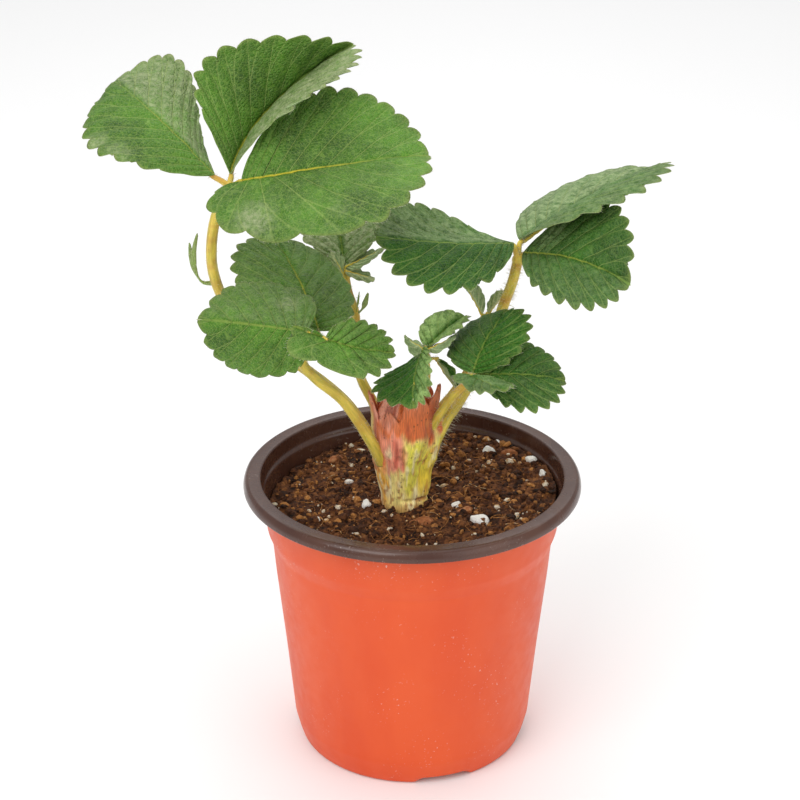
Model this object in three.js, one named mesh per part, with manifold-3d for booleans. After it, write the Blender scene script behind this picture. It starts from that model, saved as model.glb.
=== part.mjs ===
import * as THREE from 'three';
import Module from 'manifold-3d';
import { mergeVertices } from 'three/addons/utils/BufferGeometryUtils.js';

// A young strawberry plant in a two-tone nursery pot. Millimetres, +Z up, the plant facing -Y.
// All places are given from the pot's axis (x = y = 0) and the plane that the pot stands on
// (z = 0); the finished group is then centred on its own bounding box.

const wasm = await Module();
wasm.setup();

const DEGREE = Math.PI / 180;
const GAP = 0.3; // between pieces that touch

// ---- pot: a 12 cm thin-walled nursery pot, standing on the feet between its drain arches
const POT_HEIGHT = 104;
const LIP_RADIUS = 60;
const MOUTH_RADIUS = 53.8;
const WALL = 1.1;
const FLOOR = 3.6; // underside of the raised floor
const FOOT_INNER = 38.2;
const FOOT_OUTER = 41;
const POT_SIDES = 44;
const ARCH_HEIGHT = 2.4;
// drain arches in the foot, as [azimuth from the front, width] in degrees
const ARCHES = [[16, 30], [82, 30], [148, 30], [-146, 30], [-96, 24]];
const DRAIN_HOLES = 6;
const DRAIN_RADIUS = 3.5;
const DRAIN_CIRCLE = 28; // radius of the ring that the drain holes lie on

// outer wall from the foot up to the lip, as [radius, height]: it has a stacking ledge at 85
const OUTER_WALL = [
  [FOOT_OUTER, 0], [42.1, 3.4], [43.5, 9], [43.6, 10.5], [46.1, 37.8], [49.2, 68], [50.2, 80],
  [52, 85], [53.4, 98], [54.6, 102.6],
];
const LIP = [
  [58.9, 102.6], [59.1, 100], [LIP_RADIUS, 100], [LIP_RADIUS, 101.6], [59.4, 103.2],
  [58.4, POT_HEIGHT], [MOUTH_RADIUS, POT_HEIGHT],
];
const INNER_WALL = [
  [MOUTH_RADIUS - 0.4, 98.6], [52.3, 97.4], [50.9, 85], [49.1, 80], [45, 37.8], [42.2, FLOOR + WALL],
];

// ---- soil: slopes up towards +X, a little crumbly on top
const SOIL_HEIGHT = 94.2;
const SOIL_SLOPE = 0.07;
const SOIL_LUMP = 1.1;
const SOIL_SIDES = 32;
const SOIL_RINGS = [50.6, 45, 38, 31, 24, 17, 10]; // radii of the rings of its top

// ---- crown: the short thick stem, sheathed by the bases of the leaf stalks
const CROWN_X = -2.6;
const CROWN_Y = -4.2;
const CROWN_FOOT = 82;
const CROWN_TOP = 137;
const CROWN_SIDES = 16;
const CROWN_HOLE = [7.7, 7.4]; // radii of its plain hole in the soil, above and below
// half width at each height
const CROWN_PROFILE = [
  [82, 5], [86, 6.2], [94, 6.8], [98, 7.4], [104, 8.2], [111, 9.4], [118, 10.4], [125, 10.8],
  [131, 10], [135, 7.6], [137, 4],
];
// sheath scales round its top: azimuth, foot height, tip height, half width in degrees, flare
const SCALES = [
  [186, 116, 137.5, 34, 2.4],
  [238, 112, 133, 38, 0.6],
  [292, 114, 139, 42, 1.2],
  [342, 115, 141, 36, 2.2],
  [60, 116, 138, 44, 1.4],
  [120, 115, 137, 42, 1.6],
];

// ---- leaves. A leaflet starts at base and grows along heading (from +X towards +Y) and pitch
// (above level), its blade rolled about that line. width is the half blade [left, right] seen
// from above looking to the tip, fold the rise of each half at the midrib and cup its further
// bend by the margin. droop, swing and twist bend the midrib. lobe is how far each half runs back
// past the base, and wedge how narrow it starts. Lengths are in mm and angles in degrees.
const BLADE_THICKNESS = 0.7;
const TOOTH_DEPTH = 0.055; // of the leaflet's length
const HUB_SWELL = 0.4; // how much thicker the hub is than the end of its stalk

const LEAVES = {
  a: {
    hub: [-61, 0, 210],
    stalk: [[-11, -4, 112], [-17, 1, 121], [-24, 5, 129.5], [-36.5, 9, 139], [-52.5, 11, 150],
      [-64.5, 11, 163.5], [-68.5, 9, 175.5], [-68.5, 5, 188], [-66, 2, 200]],
    radius: [2.1, 1.8],
    bracts: [[[-68, 9.5, 172], [-72.5, 9, 172.5], [-75, 8.5, 178], [-75, 8, 184], [-73.5, 8, 191]],
      [[-68, 9.5, 172.5], [-73, 9.5, 173], [-76, 9.5, 181], [-76.5, 9.5, 187]]],
    leaflets: {
      left: {
        base: [-66, 0, 214.5], heading: 175, pitch: 50, roll: -40, length: 56, width: [27, 28],
        fold: [34, -46], cup: [-10, 6], droop: 70, swing: -26, twist: -38, teeth: 8,
      },
      middle: {
        base: [-61, 2, 214], heading: 84, pitch: 22, roll: 25, length: 63, width: [33, 30],
        fold: [38, 81], cup: [-25, -18], droop: -53, swing: -47, twist: 4, wedge: [1.5, 1.2],
        teeth: 8,
      },
      right: {
        base: [-57, -3, 213.5], heading: 6, pitch: 9, roll: 34, length: 63, width: [31, 31],
        fold: [8, 10], cup: [15, -25], droop: 10, swing: 2, twist: -21, lobe: [0, 22],
        wedge: [1.3, 2], teeth: 8,
      },
    },
  },
  b: {
    hub: [-32, -24, 165],
    stalk: [[-10.5, -8, 112], [-15, -12, 123], [-24, -16, 139.5], [-33, -20, 149.5],
      [-37, -22.5, 156.5]],
    radius: [2.1, 1.7],
    bracts: [],
    leaflets: {
      middle: {
        base: [-31.5, -17.1, 165.4], heading: 107, pitch: 29, roll: -12, length: 49,
        width: [21.3, 19.5], fold: [30, -20], cup: [-35, -22.5], droop: 13, swing: 12.5,
        twist: -3, lobe: [3, 3], wedge: [0.95, 0.95], bare: 0.22, teeth: 8,
      },
      left: {
        base: [-35, -31.3, 170.9], heading: 165, pitch: 3, roll: -15, length: 38,
        width: [21.5, 24], fold: [-71.5, 8], cup: [-38.5, -16.5], droop: 7.5, swing: -3,
        twist: 1, lobe: [4, 4], wedge: [0.9, 0.8], bare: 0.2, teeth: 8,
      },
      right: {
        base: [-28.7, -30, 168.3], heading: 7, pitch: -26, roll: 43, length: 24,
        width: [10.5, 11.5], fold: [5, 6], cup: [-6, -3], droop: 6, swing: 25, twist: -23,
        lobe: [0, 18], wedge: [1.3, 1.4], teeth: 6,
      },
    },
  },
  c: {
    hub: [-23.6, 25.4, 168.6],
    stalk: [[-10.5, 2, 119], [-13, 8, 125.5], [-18, 14.5, 133.3], [-20.5, 19, 140.5], [-20, 22, 149.3],
      [-20.3, 23.7, 155.7], [-22.6, 25.4, 162.6]],
    radius: [1.9, 1.4],
    bracts: [[[-20, 23.2, 155.3], [-19.4, 22.2, 158.8], [-18.7, 21.7, 164.3]],
      [[-20, 23.2, 154.8], [-17.5, 22.2, 157.8], [-15.6, 21.7, 163.8]]],
    leaflets: {
      middle: {
        base: [-24, 26.4, 170.9], heading: 97, pitch: 27, roll: -1, length: 33, width: [16, 16.5],
        fold: [30, 34], cup: [-30, -40], droop: 10, teeth: 5,
      },
      right: {
        base: [-23.3, 25.5, 171.3], heading: 20, pitch: 18.5, roll: -175, length: 15.5,
        width: [5.5, 8.5], fold: [-4, -2.5], droop: 7, swing: -3, twist: -27,
        wedge: [0.9, 0.9], teeth: 3,
      },
      left: {
        base: [-23.6, 24.2, 170.7], heading: 2, pitch: -11, roll: -135.5, length: 10.4,
        width: [1.9, 4.7], fold: [26, 20], cup: [20, 20], droop: -4, swing: 10.5, twist: -5.5,
        wedge: [0.7, 0.7], teeth: 3,
      },
      rim: {
        base: [-23.9, 23.1, 167.3], heading: 155, pitch: 69, roll: 159, length: 11.3,
        width: [4.9, 3], fold: [19, 16], cup: [0, 11], droop: -15, swing: -4, twist: -7,
        wedge: [0.8, 0.8], teeth: 3,
      },
    },
  },
  d: {
    hub: [36.2, 8.8, 181],
    stalk: [[4.5, -7, 111.5], [8.5, -7, 121], [12, -5, 127.5], [16.5, -1.5, 133], [28, 5, 154],
      [31.5, 7, 165], [34.5, 8, 173.5]],
    radius: [2.2, 1.8],
    bracts: [],
    leaflets: {
      left: {
        base: [34.5, 8, 187.5], heading: 198, pitch: 4, roll: 14, length: 49, width: [24, 23],
        fold: [-27, 2], cup: [1, 32], droop: -10, swing: 2, twist: -19, teeth: 8,
      },
      right: {
        base: [38.2, 10.5, 183.2], heading: -38, pitch: 13.5, roll: 41, length: 46,
        width: [24, 20], fold: [-8, 26], cup: [3.5, -3.5], droop: 2.5, swing: -29, twist: 13,
        teeth: 8,
      },
      middle: {
        base: [36.6, 11.3, 187.4], heading: 33, pitch: 23, roll: -15, length: 59, width: [28, 30],
        fold: [11, 22], cup: [-23, -34], droop: 15, wedge: [1.35, 0.95], teeth: 8,
      },
    },
  },
  e: {
    hub: [20, -17.5, 148],
    stalk: [[3.8, -8.2, 120], [6.8, -9.2, 126.3], [10, -11.2, 133], [13.5, -13.2, 139.2]],
    radius: [1.7, 1.4],
    bracts: [],
    leaflets: {
      middle: {
        base: [20, -18, 150.4], heading: 64, pitch: 48, roll: -7, length: 28, width: [16, 14.5],
        fold: [6, 2], cup: [-20, -30], droop: 30, swing: -8, twist: -18, wedge: [1, 1],
        lobe: [1, 1], bare: 0.2, teeth: 7,
      },
      right: {
        base: [21.5, -18, 150], heading: -3, pitch: 5, roll: 30, length: 30, width: [15, 15],
        fold: [5, -4], cup: [-2, -13], droop: 20, swing: -2, twist: -18, teeth: 7,
      },
      left: {
        base: [19.5, -22, 151.4], heading: -51, pitch: 0, roll: -1, length: 17, width: [8, 9],
        fold: [-5, 3], cup: [-15, -4], droop: -4, lobe: [0, 6], teeth: 4,
      },
    },
  },
  f: {
    hub: [4, -7, 151.5],
    stalk: [[1, -5, 131], [3.2, -5.5, 137], [4.2, -6.5, 144]],
    radius: [2.2, 1.8],
    bracts: [],
    leaflets: {
      middle: {
        base: [4.8, -6.5, 154.5], heading: 45, pitch: 34, roll: -7, length: 18, width: [9.5, 8.5],
        fold: [34, 30], cup: [-30, -30], droop: 24, swing: -12, wedge: [1, 1.1], teeth: 5,
      },
      left: {
        base: [3.8, -8.8, 156], heading: 247, pitch: -23, roll: 24, length: 24.4,
        width: [7.6, 16.7], fold: [10, -33], cup: [35.5, 37], droop: 25.5, swing: 12,
        twist: -32, wedge: [1, 1], teeth: 5,
      },
      right: {
        base: [9, -5, 149.8], heading: 12, pitch: -68, roll: 30, length: 14, width: [3.2, 3.2],
        fold: [50, 50], droop: -20, teeth: 2,
      },
      horn: {
        base: [4.9, -8.6, 154], heading: 173, pitch: 22, roll: 161, length: 9.2,
        width: [4.9, 6.6], fold: [7.5, 2], cup: [13, -2], droop: 11, swing: 17, twist: 30,
        teeth: 2,
      },
      rim: {
        base: [5.2, -9.1, 154.2], heading: 13, pitch: 21, roll: -168, length: 10.8,
        width: [5, 5.5], fold: [-4.5, 5.5], cup: [-3.5, 22], droop: 6, swing: -13, twist: -29,
        teeth: 2,
      },
    },
  },
  g: {
    hub: [25, 10.5, 159],
    stalk: [[5.5, 1.5, 120], [8.5, 4, 125.5], [14, 7, 131.5], [19, 9, 139], [23.2, 10, 149]],
    radius: [1.4, 1],
    bracts: [],
    leaflets: {
      middle: {
        base: [24.4, 10, 160.8], heading: 165, pitch: 62, roll: 60, length: 13, width: [3.6, 3.6],
        fold: [38, 38], droop: 6, teeth: 4,
      },
      right: {
        base: [26.2, 11, 161], heading: 25, pitch: 50, roll: -30, length: 9, width: [3.4, 3.4],
        fold: [38, 38], droop: 10, teeth: 4,
      },
    },
  },
};

// ---- loose bits in the soil: [x, y, half sizes, turn] of each granule
const PERLITE = [
  [28.3, 31.3, [2.5, 2.1, 2], 20],
  [31.8, 36.6, [1.7, 1.4, 1.3], 70],
  [43.4, 21.4, [2.1, 1.8, 1.8], 0],
  [47, 9.2, [1.5, 1.9, 1.6], 10],
  [22.7, -22.5, [3.1, 2.2, 2], -8],
  [15.4, -9.5, [1.8, 1.4, 1.5], 40],
  [-16.1, -6, [1.5, 1.3, 2.2], 0],
  [-22.9, 14.6, [1.4, 1.3, 1.2], 30],
  [-34, -14, [1.6, 1.4, 1.3], 55],
  [-6, 36, [1.9, 1.6, 1.5], 15],
];
const BARK = [
  [3.4, -20.6, [3.8, 2.2, 1.5], 12],
  [18.6, -14.6, [2.7, 2.1, 1.6], -20],
  [35.8, 28.2, [3.4, 2, 1.6], -35],
  [-28.2, 31.5, [2.8, 1.9, 1.4], 30],
];

// ---- helpers

// seeded random numbers from 0 to 1
function randomFrom(seed) {
  let state = seed;
  return () => {
    state = (state * 16807) % 2147483647;
    return state / 2147483647;
  };
}

function toSolid(geometry) {
  const bare = geometry.clone();
  bare.deleteAttribute('normal');
  bare.deleteAttribute('uv');
  const merged = mergeVertices(bare, 1e-4);
  return new wasm.Manifold(new wasm.Mesh({
    numProp: 3,
    vertProperties: new Float32Array(merged.attributes.position.array),
    triVerts: new Uint32Array(merged.index.array),
  }));
}

function toGeometry(solid) {
  const mesh = solid.getMesh();
  const geometry = new THREE.BufferGeometry();
  geometry.setAttribute('position', new THREE.BufferAttribute(new Float32Array(mesh.vertProperties), 3));
  geometry.setIndex(new THREE.BufferAttribute(new Uint32Array(mesh.triVerts), 1));
  return geometry;
}

function fromPoints(points, triangles) {
  const geometry = new THREE.BufferGeometry();
  geometry.setAttribute('position', new THREE.Float32BufferAttribute(points.flatMap((p) => p.toArray()), 3));
  geometry.setIndex(triangles.flat());
  return geometry;
}

// straight-line reading of a list of [key, value]
function readProfile(profile, key) {
  for (let i = 1; i < profile.length; i += 1) {
    const [k0, v0] = profile[i - 1];
    const [k1, v1] = profile[i];
    if (key <= k1) return v0 + (v1 - v0) * Math.max(0, (key - k0) / (k1 - k0));
  }
  return profile[profile.length - 1][1];
}

// closed rings of points, one above another, capped at both ends by a middle point
function stackRings(rings, bottom, top) {
  const sides = rings[0].length;
  const points = [...rings.flat(), bottom, top];
  const low = points.length - 2;
  const high = points.length - 1;
  const last = (rings.length - 1) * sides;
  const triangles = [];
  for (let j = 0; j < sides; j += 1) {
    const k = (j + 1) % sides;
    for (let i = 0; i < rings.length - 1; i += 1) {
      const a = i * sides;
      const b = a + sides;
      triangles.push([a + j, a + k, b + k], [a + j, b + k, b + j]);
    }
    triangles.push([low, k, j], [high, last + j, last + k]);
  }
  return fromPoints(points, triangles);
}

// a tapering round stalk along a smooth curve through the points
function stalk(points, [startRadius, endRadius], sides = 7, steps = 2 * points.length) {
  const curve = new THREE.CatmullRomCurve3(points.map((p) => new THREE.Vector3(...p)));
  const frames = curve.computeFrenetFrames(steps, false);
  const rings = [];
  for (let i = 0; i <= steps; i += 1) {
    const centre = curve.getPointAt(i / steps);
    const radius = startRadius + (endRadius - startRadius) * (i / steps);
    const ring = [];
    for (let j = 0; j < sides; j += 1) {
      const angle = (2 * Math.PI * j) / sides;
      ring.push(centre.clone()
        .addScaledVector(frames.normals[i], radius * Math.cos(angle))
        .addScaledVector(frames.binormals[i], radius * Math.sin(angle)));
    }
    rings.push(ring);
  }
  return stackRings(rings, curve.getPointAt(0), curve.getPointAt(1));
}

// ---- the pot

function potBody() {
  const profile = [
    [0, FLOOR], [FOOT_INNER, FLOOR], [FOOT_INNER + 0.6, 0], ...OUTER_WALL, ...LIP, ...INNER_WALL,
    [0, FLOOR + WALL],
  ];
  const lathe = new THREE.LatheGeometry(profile.map(([r, z]) => new THREE.Vector2(r, z)), POT_SIDES);
  lathe.rotateX(Math.PI / 2);
  let body = toSolid(lathe);
  if (body.volume() < 0) throw new Error('the pot is inside out');
  for (const [azimuth, width] of ARCHES) {
    const span = 2 * FOOT_OUTER * Math.sin((width / 2) * DEGREE);
    const outline = new THREE.Shape();
    outline.moveTo(-span / 2, -1);
    outline.lineTo(span / 2, -1);
    outline.lineTo(span / 2, 0.4);
    outline.quadraticCurveTo(span / 2 - 1, ARCH_HEIGHT, span / 2 - 5, ARCH_HEIGHT);
    outline.lineTo(-span / 2 + 5, ARCH_HEIGHT);
    outline.quadraticCurveTo(-span / 2 + 1, ARCH_HEIGHT, -span / 2, 0.4);
    const arch = new THREE.ExtrudeGeometry(outline, { depth: 12, bevelEnabled: false, curveSegments: 2 });
    arch.rotateX(Math.PI / 2);
    arch.translate(0, FOOT_OUTER + 5, 0);
    arch.rotateZ((azimuth - 180) * DEGREE);
    body = body.subtract(toSolid(arch));
  }
  for (let i = 0; i < DRAIN_HOLES; i += 1) {
    const angle = ((i + 0.5) * 2 * Math.PI) / DRAIN_HOLES;
    const hole = new THREE.CylinderGeometry(DRAIN_RADIUS, DRAIN_RADIUS, 6, 8);
    hole.rotateX(Math.PI / 2);
    hole.translate(DRAIN_CIRCLE * Math.cos(angle), DRAIN_CIRCLE * Math.sin(angle), FLOOR);
    body = body.subtract(toSolid(hole));
  }
  return body;
}

// ---- soil and what lies in it

function soilTop(x, y) {
  const lumps = Math.sin(0.61 * x + 1.3) * Math.cos(0.53 * y - 0.4)
    + 0.7 * Math.sin(0.97 * y + 0.38 * x) + 0.5 * Math.cos(1.31 * x - 0.83 * y);
  return SOIL_HEIGHT + SOIL_SLOPE * x + 0.45 * SOIL_LUMP * lumps;
}

function soilBody() {
  const wall = INNER_WALL.map(([r, z]) => [z, r - GAP]).reverse();
  const circle = (radius, height) => Array.from({ length: SOIL_SIDES }, (_, j) => {
    const angle = (2 * Math.PI * j) / SOIL_SIDES;
    const x = radius * Math.cos(angle);
    const y = radius * Math.sin(angle);
    return new THREE.Vector3(x, y, height ?? soilTop(x, y));
  });
  const floor = FLOOR + WALL + GAP;
  const rings = [floor, 37.8, 80, 85].map((height) => circle(readProfile(wall, height), height));
  for (const radius of SOIL_RINGS) rings.push(circle(radius));
  return toSolid(stackRings(rings, new THREE.Vector3(0, 0, floor), new THREE.Vector3(0, 0, soilTop(0, 0))));
}

// a rough rounded lump; grow makes the same lump larger all round
function lump([x, y, half, turn], seed, grow = 0) {
  const random = randomFrom(seed);
  const ball = new THREE.OctahedronGeometry(1.05, 1);
  const geometry = mergeVertices(ball.deleteAttribute('normal').deleteAttribute('uv'));
  const position = geometry.attributes.position;
  for (let i = 0; i < position.count; i += 1) {
    const swell = 0.86 + 0.22 * random();
    position.setXYZ(
      i,
      position.getX(i) * (half[0] * swell + grow),
      position.getY(i) * (half[1] * swell + grow),
      position.getZ(i) * (half[2] * swell + grow),
    );
  }
  geometry.rotateZ(turn * DEGREE);
  geometry.translate(x, y, soilTop(x, y) + 0.3 * half[2]);
  return toSolid(geometry);
}

// ---- the crown

function crownBody() {
  const rings = [];
  for (let height = CROWN_FOOT; height <= CROWN_TOP; height += 5) {
    const radius = readProfile(CROWN_PROFILE, height);
    const wrap = Math.min(1, Math.max(0, (height - 92) / 20));
    rings.push(Array.from({ length: CROWN_SIDES }, (_, j) => {
      const angle = (2 * Math.PI * j) / CROWN_SIDES;
      const waves = 0.05 * Math.cos(3 * angle + 0.05 * height) + 0.035 * Math.cos(5 * angle - 0.09 * height);
      const swell = 1 + wrap * waves;
      return new THREE.Vector3(
        CROWN_X + radius * swell * Math.cos(angle),
        CROWN_Y + radius * swell * Math.sin(angle),
        height,
      );
    }));
  }
  const foot = new THREE.Vector3(CROWN_X, CROWN_Y, CROWN_FOOT - 1);
  const top = new THREE.Vector3(CROWN_X, CROWN_Y, CROWN_TOP + 1);
  return toSolid(stackRings(rings, foot, top));
}

// one papery sheath scale, standing a little off the crown and drawn in to a blunt point
function crownScale([azimuth, foot, tip, halfAngle, flare]) {
  const rows = 4;
  const columns = 3;
  const outer = [];
  const inner = [];
  for (let i = 0; i <= rows; i += 1) {
    const rise = i / rows;
    const height = foot + (tip - foot) * rise;
    const spread = halfAngle * Math.sqrt(1 - 0.97 * rise ** 2.4);
    for (let j = 0; j <= columns; j += 1) {
      const across = (2 * j) / columns - 1;
      const angle = (azimuth + spread * across) * DEGREE;
      const body = readProfile(CROWN_PROFILE, Math.min(height, 129));
      const radius = body + 0.9 + flare * rise ** 2 - 0.8 * across ** 2 * (1 - rise);
      const outward = new THREE.Vector3(Math.cos(angle), Math.sin(angle), 0);
      const axis = new THREE.Vector3(CROWN_X, CROWN_Y, height);
      outer.push(axis.clone().addScaledVector(outward, radius));
      inner.push(axis.addScaledVector(outward, radius - 0.8 - 2.6 * (1 - rise)));
    }
  }
  return thickSheet(outer, inner, rows, columns);
}

// closes the space between two grids of points alike
function thickSheet(outer, inner, rows, columns) {
  const stride = columns + 1;
  const count = outer.length;
  const triangles = [];
  for (let i = 0; i < rows; i += 1) {
    for (let j = 0; j < columns; j += 1) {
      const a = i * stride + j;
      const b = a + stride;
      triangles.push([a, a + 1, b + 1], [a, b + 1, b]);
      triangles.push([count + a, count + b + 1, count + a + 1], [count + a, count + b, count + b + 1]);
    }
  }
  const border = [];
  for (let j = 0; j < columns; j += 1) border.push(j);
  for (let i = 0; i < rows; i += 1) border.push(i * stride + columns);
  for (let j = columns; j > 0; j -= 1) border.push(rows * stride + j);
  for (let i = rows; i > 0; i -= 1) border.push(i * stride);
  border.forEach((a, k) => {
    const b = border[(k + 1) % border.length];
    triangles.push([a, count + a, count + b], [a, count + b, b]);
  });
  return toSolid(fromPoints([...outer, ...inner], triangles));
}

// ---- leaflets

// where the point at (along, out) of a half blade lies; side is 1 on the left and -1 on the right
function leafPoint(leaflet, side, along, out) {
  const { length, fold = [0, 0], cup = [0, 0], droop = 0, swing = 0, twist = 0 } = leaflet;
  const heading = leaflet.heading * DEGREE;
  const pitch = leaflet.pitch * DEGREE;
  const roll = leaflet.roll * DEGREE;
  const ahead = new THREE.Vector3(
    Math.cos(pitch) * Math.cos(heading),
    Math.cos(pitch) * Math.sin(heading),
    Math.sin(pitch),
  );
  const across = new THREE.Vector3(-Math.sin(heading), Math.cos(heading), 0).applyAxisAngle(ahead, roll);
  const up = ahead.clone().cross(across);
  const forward = Math.max(0, along);
  const bend = (droop * DEGREE + 1e-4) * (forward / length);
  const arc = length / (droop * DEGREE + 1e-4);
  const centre = new THREE.Vector3(...leaflet.base)
    .addScaledVector(ahead, along > 0 ? arc * Math.sin(bend) : along)
    .addScaledVector(up, arc * (Math.cos(bend) - 1))
    .addScaledVector(across, (swing * DEGREE * forward ** 2) / (2 * length));
  const top = up.clone().multiplyScalar(Math.cos(bend)).addScaledVector(ahead, Math.sin(bend));
  const turn = (twist * DEGREE * along) / length;
  const flat = across.clone().multiplyScalar(Math.cos(turn)).addScaledVector(top, Math.sin(turn));
  const raised = top.clone().multiplyScalar(Math.cos(turn)).addScaledVector(across, -Math.sin(turn));
  const half = side > 0 ? 0 : 1;
  const curl = (cup[half] * DEGREE * out) / leaflet.width[half] + 1e-6;
  const rise = fold[half] * DEGREE + curl / 2;
  const chord = (out * Math.sin(curl / 2)) / (curl / 2);
  return centre
    .addScaledVector(flat, side * chord * Math.cos(rise))
    .addScaledVector(raised, chord * Math.sin(rise));
}

// the rounded outline of a half blade: turn runs from 0 at the base to pi at the tip
function outlineAt(leaflet, half, turn) {
  const { length } = leaflet;
  const lobe = (leaflet.lobe ?? [0, 0])[half];
  const wedge = (leaflet.wedge ?? [1.2, 1.2])[half];
  const power = wedge + ((0.85 - wedge) * turn) / Math.PI;
  return {
    foot: 0.9 * length * (turn / Math.PI) ** 2.2,
    along: length * ((1 - Math.cos(turn)) / 2) ** 0.8 - (turn < Math.PI / 2 ? lobe * Math.sin(2 * turn) : 0),
    out: leaflet.width[half] * Math.max(0, Math.sin(turn)) ** power,
  };
}

const TURN_START = 0.1;
const BARE = 0.26; // share of the turn before the teeth begin
const PLAIN_STEPS = 4; // of the untoothed margin by the base
const MIDDLE_ROW = 0.52; // how far out along the veins the blade's middle row of points lies
// a tooth in three steps: notch, shoulder and point, as [part of the tooth, reach]
const TOOTH = [[0, -0.65], [0.35, 0.15], [0.7, 0.35]];

// margin points of one half blade, each with its side vein's foot on the midrib
function marginOf(leaflet, half) {
  const turns = [];
  const teethStart = (leaflet.bare ?? BARE) * Math.PI;
  for (let i = 0; i < PLAIN_STEPS; i += 1) {
    turns.push([TURN_START + ((teethStart - TURN_START) * i) / PLAIN_STEPS, 0]);
  }
  const { teeth } = leaflet;
  for (let tooth = 0; tooth < teeth; tooth += 1) {
    for (const [part, reach] of TOOTH) {
      const share = (tooth + part) / (teeth - 0.3);
      turns.push([teethStart + (Math.PI - teethStart) * share, tooth === 0 && part === 0 ? 0 : reach]);
    }
  }
  return turns.map(([turn, reach]) => {
    const { foot, along, out } = outlineAt(leaflet, half, turn);
    const vein = Math.hypot(along - foot, out);
    const stretch = 1 + (reach * TOOTH_DEPTH * leaflet.length) / vein;
    return { foot, along: foot + (along - foot) * stretch, out: Math.max(0, out) * stretch };
  });
}

// a toothed blade folded along its midrib, closed, with the same triangles on both faces
function bladeSolid(leaflet) {
  const points = [];
  const triangles = [];
  const seen = new Map();
  const border = [[], []];
  const vertex = (side, along, out) => {
    const key = out < 1e-6 ? `rib ${along.toFixed(4)}` : `${side} ${along.toFixed(4)} ${out.toFixed(4)}`;
    if (!seen.has(key)) {
      seen.set(key, points.length);
      points.push(leafPoint(leaflet, side, along, out));
    }
    return seen.get(key);
  };
  for (const half of [0, 1]) {
    const side = half === 0 ? 1 : -1;
    const margin = marginOf(leaflet, half);
    const face = (a, b, c) => {
      if (a !== b && b !== c && a !== c) triangles.push(side > 0 ? [a, b, c] : [a, c, b]);
    };
    const edge = margin.map((m) => vertex(side, m.along, m.out));
    const stations = margin.map((m, i) => i).filter((i) => i % 3 === 0);
    const rib = stations.map((i) => vertex(side, margin[i].foot, 0));
    const middle = stations.map((i) => {
      const { foot, along, out } = margin[i];
      return vertex(side, foot + (along - foot) * MIDDLE_ROW, out * MIDDLE_ROW);
    });
    for (let k = 0; k < stations.length - 1; k += 1) {
      const i = stations[k];
      face(rib[k], rib[k + 1], middle[k + 1]);
      face(rib[k], middle[k + 1], middle[k]);
      face(middle[k], edge[i + 1], edge[i]);
      face(middle[k], edge[i + 2], edge[i + 1]);
      face(middle[k], middle[k + 1], edge[i + 2]);
      face(middle[k + 1], edge[i + 3], edge[i + 2]);
    }
    border[half] = [rib[0], middle[0], ...edge];
  }
  const sheet = fromPoints(points, triangles);
  sheet.computeVertexNormals();
  const normals = sheet.attributes.normal;
  const offset = (sign) => points.map((p, i) => p.clone()
    .addScaledVector(new THREE.Vector3().fromBufferAttribute(normals, i), (sign * BLADE_THICKNESS) / 2));
  const count = points.length;
  const all = [...triangles, ...triangles.map(([a, b, c]) => [count + a, count + c, count + b])];
  const loop = [...border[1], ...border[0].slice(1, -1).reverse()];
  loop.forEach((a, k) => {
    const b = loop[(k + 1) % loop.length];
    all.push([a, count + a, count + b], [a, count + b, b]);
  });
  return toSolid(fromPoints([...offset(1), ...offset(-1)], all));
}

// leaflets joined at the hub by their short stalks, each running on as a thick midrib
function bladesOf(leaf) {
  const hub = new THREE.IcosahedronGeometry(leaf.radius[1] + HUB_SWELL, 0);
  hub.translate(...leaf.hub);
  let body = toSolid(hub);
  for (const leaflet of Object.values(leaf.leaflets)) {
    const onRib = (share) => leafPoint(leaflet, 1, share * leaflet.length, 0).toArray();
    const thick = Math.min(1.2, 0.35 + leaflet.length * 0.022);
    const rib = stalk([leaf.hub, leaflet.base, onRib(0.07)], [thick, 0.7 * thick], 5, 4);
    body = body.add(bladeSolid(leaflet)).add(toSolid(rib));
  }
  return body;
}

// the long stalk, stopping a gap short of the hub, with its small bracts
function stalkOf(leaf) {
  const hub = new THREE.Vector3(...leaf.hub);
  const back = new THREE.Vector3(...leaf.stalk.at(-1)).sub(hub);
  const seat = hub.clone().add(back.setLength(leaf.radius[1] + HUB_SWELL + GAP));
  let body = toSolid(stalk([...leaf.stalk, seat.toArray()], leaf.radius));
  for (const bract of leaf.bracts) body = body.add(toSolid(stalk(bract, [0.8, 0.35], 5, 6)));
  return body;
}

// the room that a stalk takes in the crown: its first stretch, wider and longer by the gap
function socketOf(leaf) {
  const [first, second] = leaf.stalk.map((p) => new THREE.Vector3(...p));
  const back = first.clone().sub(second).setLength(GAP * 1.2);
  const points = leaf.stalk.slice(0, 3).map((p) => new THREE.Vector3(...p));
  points[0].add(back);
  const radius = leaf.radius[0] + GAP + 0.1;
  return toSolid(stalk(points.map((p) => p.toArray()), [radius, radius], 8, 5));
}

// ---- the whole plant

const colours = {
  pot: new THREE.MeshStandardMaterial({ color: 0xe06a44, roughness: 0.5 }),
  soil: new THREE.MeshStandardMaterial({ color: 0x3d2718, roughness: 0.95 }),
  perlite: new THREE.MeshStandardMaterial({ color: 0xe8e4dc, roughness: 0.9 }),
  bark: new THREE.MeshStandardMaterial({ color: 0x9a6236, roughness: 0.9 }),
  crown: new THREE.MeshStandardMaterial({ color: 0xc98a4a, roughness: 0.6 }),
  stalk: new THREE.MeshStandardMaterial({ color: 0xb9a545, roughness: 0.6 }),
  leaf: new THREE.MeshStandardMaterial({ color: 0x4e7836, roughness: 0.55 }),
};

const plant = new THREE.Group();

function add(name, solid, material) {
  const mesh = new THREE.Mesh(toGeometry(solid), material);
  mesh.name = name;
  plant.add(mesh);
}

add('pot', potBody(), colours.pot);

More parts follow.
